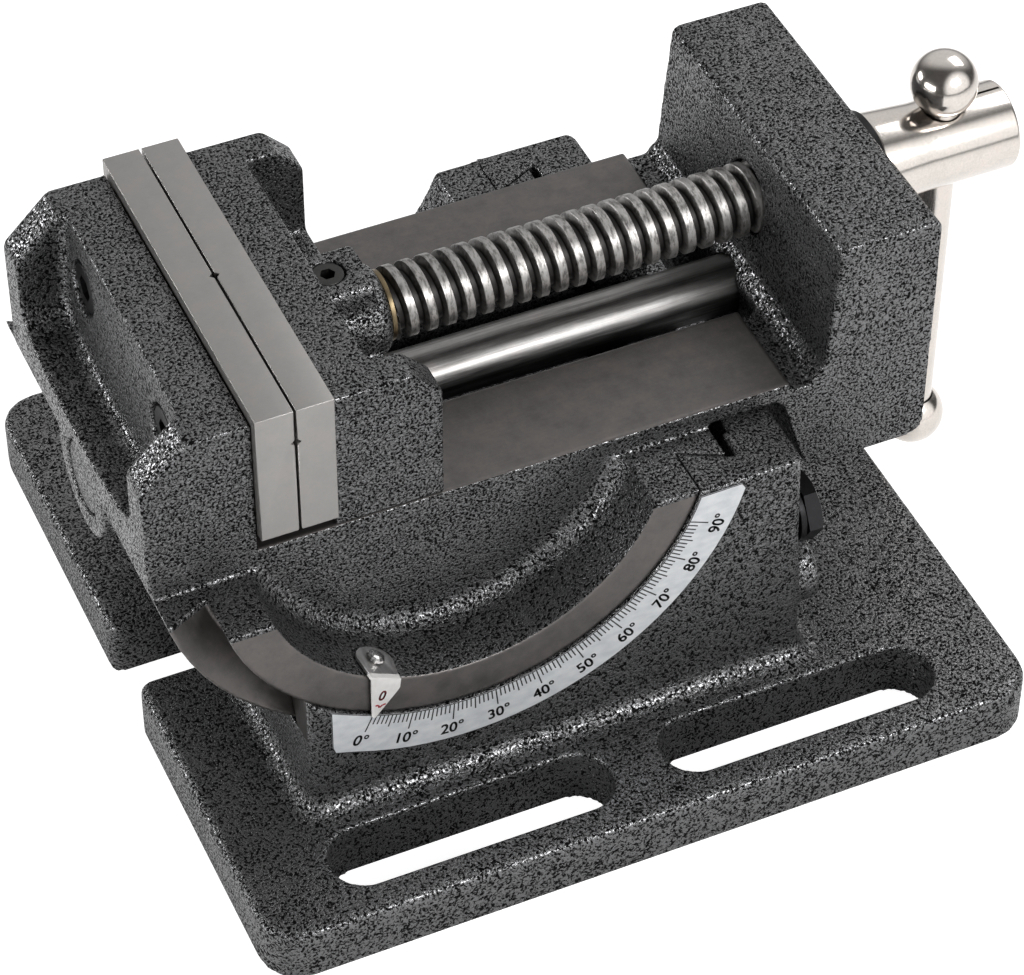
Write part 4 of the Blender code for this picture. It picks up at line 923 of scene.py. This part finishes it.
def thin_label():
    """The scale as a thin foil on the cradle's wall, close round the drum's band."""
    item = copy_solid("angle_scale", "angle_scale_foil")
    split = (LABEL_LOW.y + LABEL_HIGH.y) / 2
    end = LABEL_LOW.x + LABEL_END
    for vertex in item.data.vertices:
        place = vertex.co
        place.y = LABEL_FRONT if place.y < split else LABEL_BACK
        flat = Vector((place.x - TILT_X, place.z - TILT_Z))
        deep = (flat.length - LABEL_INNER) / (NUMBER_RADIUS - LABEL_INNER)
        stretched = ratio(place.x, end, end - LABEL_EASE) * (LABEL_REACH + deep * LABEL_SLANT)
        if flat.length < NUMBER_RADIUS - 3 * MM:
            wide = flat * (LABEL_INNER / flat.length)
            place.x = TILT_X + wide.x
            if abs(place.z - LABEL_HIGH.z) > 0.05 * MM:
                place.z = TILT_Z + wide.y
        place.x -= stretched
    return stand_for(item, "angle_scale")


for plate in ("fixed_jaw_plate", "moving_jaw_plate"):
    ground_plate(plate)
wide_pointer()
LABEL = thin_label()


# Print

def close_slab(builder, loops):
    """Join two like loops into a closed slab."""
    near, far = loops
    count = len(near)
    for index in range(count):
        after = (index + 1) % count
        builder.faces.new((near[index], near[after], far[after], far[index]))
    builder.faces.new(near)
    builder.faces.new(list(reversed(far)))


def print_slab(builder, outline, y):
    """A slab as thick as print, from an outline in X and Z."""
    close_slab(builder, [[builder.verts.new((x, layer, z)) for x, z in outline]
                         for layer in (y - PRINT_LIFT, y + PRINT_LIFT)])


def finish_print(name, builder, ink_material, body):
    mesh = mesh_of(builder, name)
    mesh.materials.append(ink_material)
    item = add_object(name, mesh)
    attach(item, body)
    return item


def scale_ticks():
    """One tick a degree, longer at every fifth and tenth."""
    builder = bmesh.new()
    half = math.degrees(TICK_WIDTH / TICK_END) / 2
    for degree in range(SCALE_SPAN + 1):
        end = TICK_END
        if degree % 5 == 0:
            end = TICK_END_FIVE
        if degree % 10 == 0:
            end = TICK_END_TEN
        outline = []
        for radius, side in ((TICK_START, -1), (TICK_START, 1), (end, 1), (end, -1)):
            angle = math.radians(SCALE_ZERO + degree + side * half)
            outline.append((TILT_X + radius * math.sin(angle), TILT_Z - radius * math.cos(angle)))
        print_slab(builder, outline, LABEL_FRONT)
    return finish_print("scale_ticks", builder, BLACK_INK, "base")


def label_outline():
    """The label's front outline in X and Z, counted round from its mesh."""
    middle = Vector((TILT_X, TILT_Z))
    front = [Vector((vertex.co.x, vertex.co.z)) for vertex in LABEL.data.vertices
             if vertex.co.y < LABEL_FRONT + 0.01 * MM]
    reach = [(place - middle).length for place in front]
    split = (max(reach) + min(reach)) / 2

    def turn(place):
        return math.atan2(place.x - middle.x, middle.y - place.y)

    outer = [place for place, far in zip(front, reach) if far > split]
    inner = [place for place, far in zip(front, reach) if far <= split]
    return sorted(outer, key=turn) + sorted(inner, key=turn, reverse=True)


def scale_border():
    """Black line round the label's edge, partly a printed border and partly painted shadow along the foil's edge.
    """
    raw = label_outline()
    outline = [p for i, p in enumerate(raw) if (p - raw[i - 1]).length > 0.02 * MM]
    count = len(outline)
    builder = bmesh.new()
    rings = []
    for y in (LABEL_FRONT - PRINT_LIFT, LABEL_FRONT + PRINT_LIFT):
        for inset in (0.0, BORDER_WIDTH):
            ring = []
            for index, place in enumerate(outline):
                before = (place - outline[index - 1]).normalized()
                after = (outline[(index + 1) % count] - place).normalized()
                along = (before + after).normalized()
                inward = Vector((along.y, -along.x))
                lean = max(0.5, abs(before.dot(along)))
                spot = place - inward * (inset / lean)
                ring.append(builder.verts.new((spot.x, y, spot.y)))
            rings.append(ring)
    order = [rings[0], rings[1], rings[3], rings[2]]
    for first, second in zip(order, order[1:] + order[:1]):
        for index in range(count):
            after = (index + 1) % count
            builder.faces.new((first[index], first[after], second[after], second[index]))
    return finish_print("scale_border", builder, BLACK_INK, "base")


def written(text, size, width):
    """A text as a flat mesh, its middle at the origin, X to the right and Y up."""
    curve = bpy.data.curves.new("text", "FONT")
    curve.body = text
    curve.size = size
    curve.align_x = "CENTER"
    curve.align_y = "CENTER"
    curve.extrude = PRINT_LIFT
    curve.resolution_u = 4
    maker = add_object("text", curve)
    graph = bpy.context.evaluated_depsgraph_get()
    mesh = bpy.data.meshes.new_from_object(maker.evaluated_get(graph))
    bpy.data.objects.remove(maker, do_unlink=True)
    mesh.transform(Matrix.Diagonal((width, 1, 1, 1)))
    return mesh


def print_bold(builder, text, size, width, place, across, up):
    """Print a text four times, a little apart, so that its strokes come out bold."""
    turn = Matrix((across, up, Vector((0, -1, 0)))).transposed().to_4x4()
    for side, rise in ((-1, -1), (-1, 1), (1, -1), (1, 1)):
        mesh = written(text, size, width)
        shift = (across * side + up * rise) * NUMBER_BOLD
        mesh.transform(Matrix.Translation(place + shift) @ turn)
        builder.from_mesh(mesh)
        bpy.data.meshes.remove(mesh)


def scale_numbers():
    """0 to 90 degrees in tens, read from outside the arc's middle."""
    builder = bmesh.new()
    for degree in range(0, SCALE_SPAN + 1, 10):
        across, up = arc_axes(SCALE_ZERO + degree)
        place = Vector((TILT_X, LABEL_FRONT, TILT_Z)) - up * NUMBER_RADIUS
        print_bold(builder, f"{degree}°", NUMBER_SIZE, NUMBER_WIDTH, place, across, up)
    return finish_print("scale_numbers", builder, BLACK_INK, "base")


def stroke(builder, start, end):
    """A straight painted stroke on the pointer's front."""
    along = (end - start).normalized()
    beside = along.cross(Vector((0, 1, 0))) * CARET_THICK / 2
    corners = (start - beside, end - beside, end + beside, start + beside)
    print_slab(builder, [(place.x, place.z) for place in corners], start.y)


def pointer_marks():
    """Red zero and caret on the pointer's blade."""
    builder = bmesh.new()
    across, up = arc_axes(MARK_ANGLE)
    front = POINTER_LOW.y - BLADE_FORWARD
    zero = Vector((TILT_X, front, TILT_Z)) - up * ZERO_RADIUS - across * ZERO_SHIFT
    print_bold(builder, "0", ZERO_SIZE, ZERO_WIDTH, zero, across, up)
    tip = zero - up * CARET_DROP + across * CARET_SHIFT
    for arm in (CARET_LEFT, CARET_RIGHT):
        start = tip
        for side, rise in arm:
            end = tip + across * side + up * rise
            stroke(builder, start, end)
            start = end
    return finish_print("pointer_marks", builder, RED_INK, "vise_body")


scale_ticks()
scale_border()
scale_numbers()
pointer_marks()


# Screw, rod, head and handle

def thread_profile():
    """(share of the pitch, radius) along one thread, its corners softened."""
    flank = (1 - THREAD_ROOT_SHARE - THREAD_CREST_SHARE) / 2
    flat = THREAD_FILLET_SHARE
    slope = flat * 0.7
    drop = THREAD_ROOT_DEPTH * flat / flank
    rise, over, fall = THREAD_ROOT_SHARE, THREAD_ROOT_SHARE + flank, 1 - flank
    dip, foot = THREAD_ROOT + drop * 0.3, THREAD_ROOT + drop * 0.9
    brow, edge = THREAD_CREST - drop * 0.9, THREAD_CREST - drop * 0.3
    return [(0.0, dip), (flat, THREAD_ROOT), (rise - flat, THREAD_ROOT), (rise, dip),
            (rise + slope, foot), (over - slope, brow), (over, edge), (over + flat, THREAD_CREST),
            (fall - flat, THREAD_CREST), (fall, edge), (fall + slope, brow), (1 - slope, foot)]


def fine_lead_screw():
    """The thread along its helix, turned down to the journal and the tenon at its ends."""
    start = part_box("thrust_ring")[1].x + PLAY
    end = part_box("screw_collar")[0].x - PLAY
    shape = thread_profile()
    lines = len(shape)
    turns = math.ceil((SCREW_HIGH.x - SCREW_LOW.x) / PITCH) + 3
    first = SCREW_HIGH.x + PITCH - turns * PITCH
    builder = bmesh.new()
    rows = []
    for line in range(lines * turns + 1):
        share, radius = shape[line % lines]
        row = []
        for step in range(THREAD_STEPS):
            angle = 2 * math.pi * step / THREAD_STEPS
            along = first + PITCH * (line // lines + share + step / THREAD_STEPS)
            here = radius
            if along < start:
                here = min(SCREW_JOURNAL, radius)
            if along > end:
                here = min(SCREW_TENON, radius)
            along = min(max(along, SCREW_LOW.x), SCREW_HIGH.x)
            row.append(builder.verts.new((along, here * math.cos(angle),
                                          SCREW_Z + here * math.sin(angle))))
        rows.append(row)
    for line in range(len(rows) - 1):
        for step in range(THREAD_STEPS - 1):
            builder.faces.new((rows[line][step], rows[line][step + 1],
                               rows[line + 1][step + 1], rows[line + 1][step]))
        if line + lines + 1 < len(rows):
            builder.faces.new((rows[line][-1], rows[line + lines][0], rows[line + lines + 1][0],
                               rows[line + 1][-1]))
    item = add_object("lead_screw_fine", mesh_of(builder, "lead_screw_fine"))
    return stand_for(shade(item, SHARP_THREAD), "lead_screw")


def fine_guide_rod():
    profile = stepped_profile(ROD_LOW.x, ROD_LOW.x + ROD_HEAD_LENGTH, ROD_HIGH.x,
                              (ROD_HIGH.z - ROD_LOW.z) / 2, ROD_RADIUS)
    item = spun("guide_rod_fine", softened(profile, END_ROUND), "X", (0, 0, ROD_Z))
    return stand_for(item, "guide_rod")


def fine_ring(node, bore, longer=0.0, wider=0.0):
    """A ring or washer with its edges broken."""
    low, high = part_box(node)
    outer = (high.z - low.z) / 2 + wider
    end = high.x + longer
    profile = [(low.x, bore), (low.x, outer), (end, outer), (end, bore)]
    soft = softened([profile[-1]] + profile + [profile[0]], EDGE_ROUND)[1:-1]
    item = spun(f"{node}_fine", soft, "X", (low + high) / 2, closed=True)
    return stand_for(item, node)


def fine_head():
    """The plated head, crossed by the handle's hole."""
    low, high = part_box("screw_head")
    radius = (high.z - low.z) / 2
    start = low.x + COLLAR_SPARE
    socket = SCREW_HIGH.x + PLAY
    hole = BAR_RADIUS + PLAY
    x = (BAR_LOW.x + BAR_HIGH.x) / 2
    outer = [(start, COLLAR_BORE), (start, radius + HEAD_FLARE), (x - hole - MM, radius),
             (high.x, radius), (high.x, 0)]
    profile = [(socket, 0), (socket, COLLAR_BORE)] + softened(outer, HEAD_ROUND, 5)
    head = spun("screw_head_fine", profile, "X", (0, 0, SCREW_Z))
    reach = radius + 2 * MM
    tool = spun("hole", bar_profile(SCREW_Z - reach, SCREW_Z + reach, hole), "Z", (x, 0, 0),
                FINE_STEPS)
    return stand_for(carve(head, tool), "screw_head")


def fine_bar():
    profile = bar_profile(BAR_LOW.z, BAR_HIGH.z, BAR_RADIUS)
    item = spun("handle_bar_fine", profile, "Z", (BAR_LOW + BAR_HIGH) / 2, FINE_STEPS)
    return stand_for(item, "handle_bar")


def fine_ball(node, way):
    """A ball bored for the bar, which comes from the side given by way."""
    low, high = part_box(node)
    radius = (high.x - low.x) / 2
    pole = low.z if way > 0 else high.z
    centre = pole + way * radius
    bore = BAR_RADIUS + PLAY
    floor = 1.0 * MM
    mouth = math.asin(bore / radius)
    profile = [(-radius, 0)]
    for step in range(1, BALL_RINGS + 1):
        angle = math.pi - (math.pi - mouth) * step / BALL_RINGS
        profile.append((radius * math.cos(angle), radius * math.sin(angle)))
    profile += [(floor, bore), (floor, 0)]
    placed = [(centre + way * along, across) for along, across in profile]
    middle = ((low.x + high.x) / 2, 0, 0)
    return stand_for(spun(f"{node}_fine", placed, "Z", middle, FINE_STEPS), node)


def fine_cap_screw(node, way):
    """Socket cap screw along X, its head towards -way."""
    low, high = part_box(node)
    middle = (low + high) / 2
    head, tip = (low.x, high.x) if way > 0 else (high.x, low.x)
    profile = stepped_profile(head, head + way * CAP_HEAD_LENGTH, tip, (high.z - low.z) / 2,
                              CAP_SHANK)
    item = spun(f"{node}_fine", softened(profile, END_ROUND), "X", middle)
    start, end = sorted((head - way * MM, head + way * CAP_SOCKET_DEPTH))
    return stand_for(carve(item, hexagon_bar("socket", CAP_SOCKET, "X", start, end, middle)), node)


def fine_set_screw():
    """Socket set screw along Z, with a dog point."""
    low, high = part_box("retaining_screw")
    middle = (low + high) / 2
    profile = stepped_profile(low.z, high.z - SET_THREAD_LENGTH, high.z, SET_DOG,
                              (high.x - low.x) / 2)
    item = spun("retaining_screw_fine", softened(profile, SET_ROUND), "Z", middle, FINE_STEPS)
    tool = hexagon_bar("socket", SET_SOCKET, "Z", high.z - SET_SOCKET_DEPTH, high.z + MM, middle)
    return stand_for(carve(item, tool), "retaining_screw")


def fine_lock_bolt(node):
    """Hex bolt whose corners are turned off at the head's end."""
    low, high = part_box(node)
    middle = (low + high) / 2
    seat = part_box(node.replace("bolt", "washer"))[1].x + PLAY
    wide = BOLT_FLATS / math.sqrt(3) * 1.1
    face = high.x + 0.01 * MM
    item = hexagon_bar(f"{node}_fine", BOLT_FLATS, "X", seat, high.x, middle)
    cone = [(seat - MM, 0), (seat - MM, wide), (high.x - BOLT_CHAMFER, wide),
            (face, BOLT_FLATS / 2 * BOLT_FACE_SHARE), (face, 0)]
    combine(item, spun("cone", cone, "X", middle), "INTERSECT")
    shank = softened(bar_profile(low.x, seat + MM, BOLT_SHANK), END_ROUND)
    combine(item, spun("shank", shank, "X", middle, SHANK_STEPS), "UNION")
    return stand_for(shade(item, SHARP_HEX), node)


fine_lead_screw()
fine_guide_rod()
fine_ring("screw_collar", COLLAR_BORE, COLLAR_SPARE, COLLAR_FLARE)
fine_ring("thrust_ring", THRUST_BORE)
fine_ring("lock_washer_front", WASHER_BORE)
fine_ring("lock_washer_rear", WASHER_BORE)
fine_head()
fine_bar()
fine_ball("handle_ball_top", -1)
fine_ball("handle_ball_bottom", 1)
for end in ("front", "rear"):
    fine_cap_screw(f"fixed_plate_screw_{end}", 1)
    fine_cap_screw(f"moving_plate_screw_{end}", -1)
    fine_lock_bolt(f"lock_bolt_{end}")
fine_set_screw()


# Stage

def build_floor():
    """White for the camera, with a shadow; mirrors see a painted pool of light round the object and a painted
    shadow under its footprint.
    """
    mesh = bpy.data.meshes.new("floor")
    low, high = -FLOOR_HALF, FLOOR_HALF
    corners = [(low, low, 0), (high, low, 0), (high, high, 0), (low, high, 0)]
    mesh.from_pydata(corners, [], [(0, 1, 2, 3)])
    floor = add_object("floor", mesh)
    g = Graph("floor_white", base=FLOOR_TONE, roughness=0.9)
    g.set("Specular IOR Level", 0.0)
    g.set("Emission Color", (1, 1, 1, 1))
    seen, glossy = g.rays()
    x, y, _ = g.axes()
    # Painted reflection for glossy rays: bright round the object and fading with distance, with a painted shadow,
    # dark, under the base's footprint.
    across = g.either(g.maths("ABSOLUTE", x), g.maths("ABSOLUTE", y))
    far = g.maths("DIVIDE", g.from_axis(x, y, 0, 0), FLOOR_FADE)
    lit = g.both(g.ramp(far, [(0.3, 1.0), (1.0, FLOOR_FAR)]),
                 g.ramp(g.maths("DIVIDE", across, 2 * CAD_REACH), [(0.42, 0.0), (0.6, 1.0)]))
    glow = g.both(glossy, lit, FLOOR_GLOSSY)
    g.feed("Emission Strength", g.maths("ADD", g.both(seen, FLOOR_SEEN), glow))
    mesh.materials.append(g.material)


def bright_patch(t, coords, direction, edge, core, level):
    """A soft bright patch of sky round a direction."""
    dot = t.node("ShaderNodeVectorMath", operation="DOT_PRODUCT")
    dot.inputs[1].default_value = Vector(direction).normalized()
    t.link(coords.outputs["Generated"], dot.inputs[0])
    spread = t.node("ShaderNodeMapRange", interpolation_type="SMOOTHSTEP")
    t.link(dot.outputs["Value"], spread.inputs["Value"])
    for socket, value in (("From Min", edge), ("From Max", core),
                          ("To Min", WORLD_GLOSSY), ("To Max", level)):
        spread.inputs[socket].default_value = value
    return spread.outputs["Result"]


def build_world():
    """White for the camera, dim for the rest, with two bright patches of sky for mirrors."""
    world = bpy.data.worlds.new("studio")
    world.use_nodes = True
    bpy.context.scene.world = world
    t = Tree(world.node_tree)
    background = t.tree.nodes["Background"]
    background.inputs["Color"].default_value = (1, 1, 1, 1)
    coords = t.node("ShaderNodeTexCoord")
    sky = t.maths("MAXIMUM",
                  bright_patch(t, coords, SKY_AT, SKY_EDGE, SKY_CORE, SKY_GLOSSY),
                  bright_patch(t, coords, FRONT_AT, FRONT_EDGE, FRONT_CORE, FRONT_GLOSSY))
    seen, glossy = t.rays()
    shown = t.maths("ADD", seen, t.maths("MULTIPLY", glossy, sky))
    other = t.maths("SUBTRACT", 1.0, t.maths("MAXIMUM", seen, glossy))
    level = t.maths("ADD", shown, t.maths("MULTIPLY", other, WORLD_DIFFUSE))
    t.link(level, background.inputs["Strength"])


def add_lamp(name, at, target, size, power):
    """A rectangular lamp at a place, turned to a target."""
    data = bpy.data.lights.new(name, "AREA")
    data.shape = "RECTANGLE"
    data.size, data.size_y = size
    data.energy = power
    lamp = add_object(name, data)
    lamp.location = at
    lamp.rotation_euler = (Vector(target) - Vector(at)).to_track_quat("-Z", "Y").to_euler()
    return lamp


def build_camera():
    data = bpy.data.cameras.new("camera")
    data.sensor_fit = "HORIZONTAL"
    data.sensor_width = CAMERA_SENSOR
    data.lens = CAMERA_LENS
    data.clip_start = CAMERA_NEAR
    data.clip_end = CAMERA_FAR
    camera = add_object("camera", data)
    azimuth, drop, roll = (math.radians(a) for a in (CAMERA_AZIMUTH, CAMERA_DROP, CAMERA_ROLL))
    right = Vector((math.cos(azimuth), -math.sin(azimuth), 0))
    ahead = Vector((math.sin(azimuth) * math.cos(drop), math.cos(azimuth) * math.cos(drop),
                    -math.sin(drop)))
    up = right.cross(ahead)
    right, up = (right * math.cos(roll) + up * math.sin(roll),
                 up * math.cos(roll) - right * math.sin(roll))
    turn = Matrix((right, up, -ahead)).transposed().to_4x4()
    camera.matrix_world = Matrix.Translation(CAMERA_AT) @ turn
    bpy.context.scene.camera = camera


build_floor()
build_world()
for name, lamp in LAMPS.items():
    add_lamp(name, *lamp)
build_camera()
bpy.context.scene.view_settings.view_transform = "Standard"
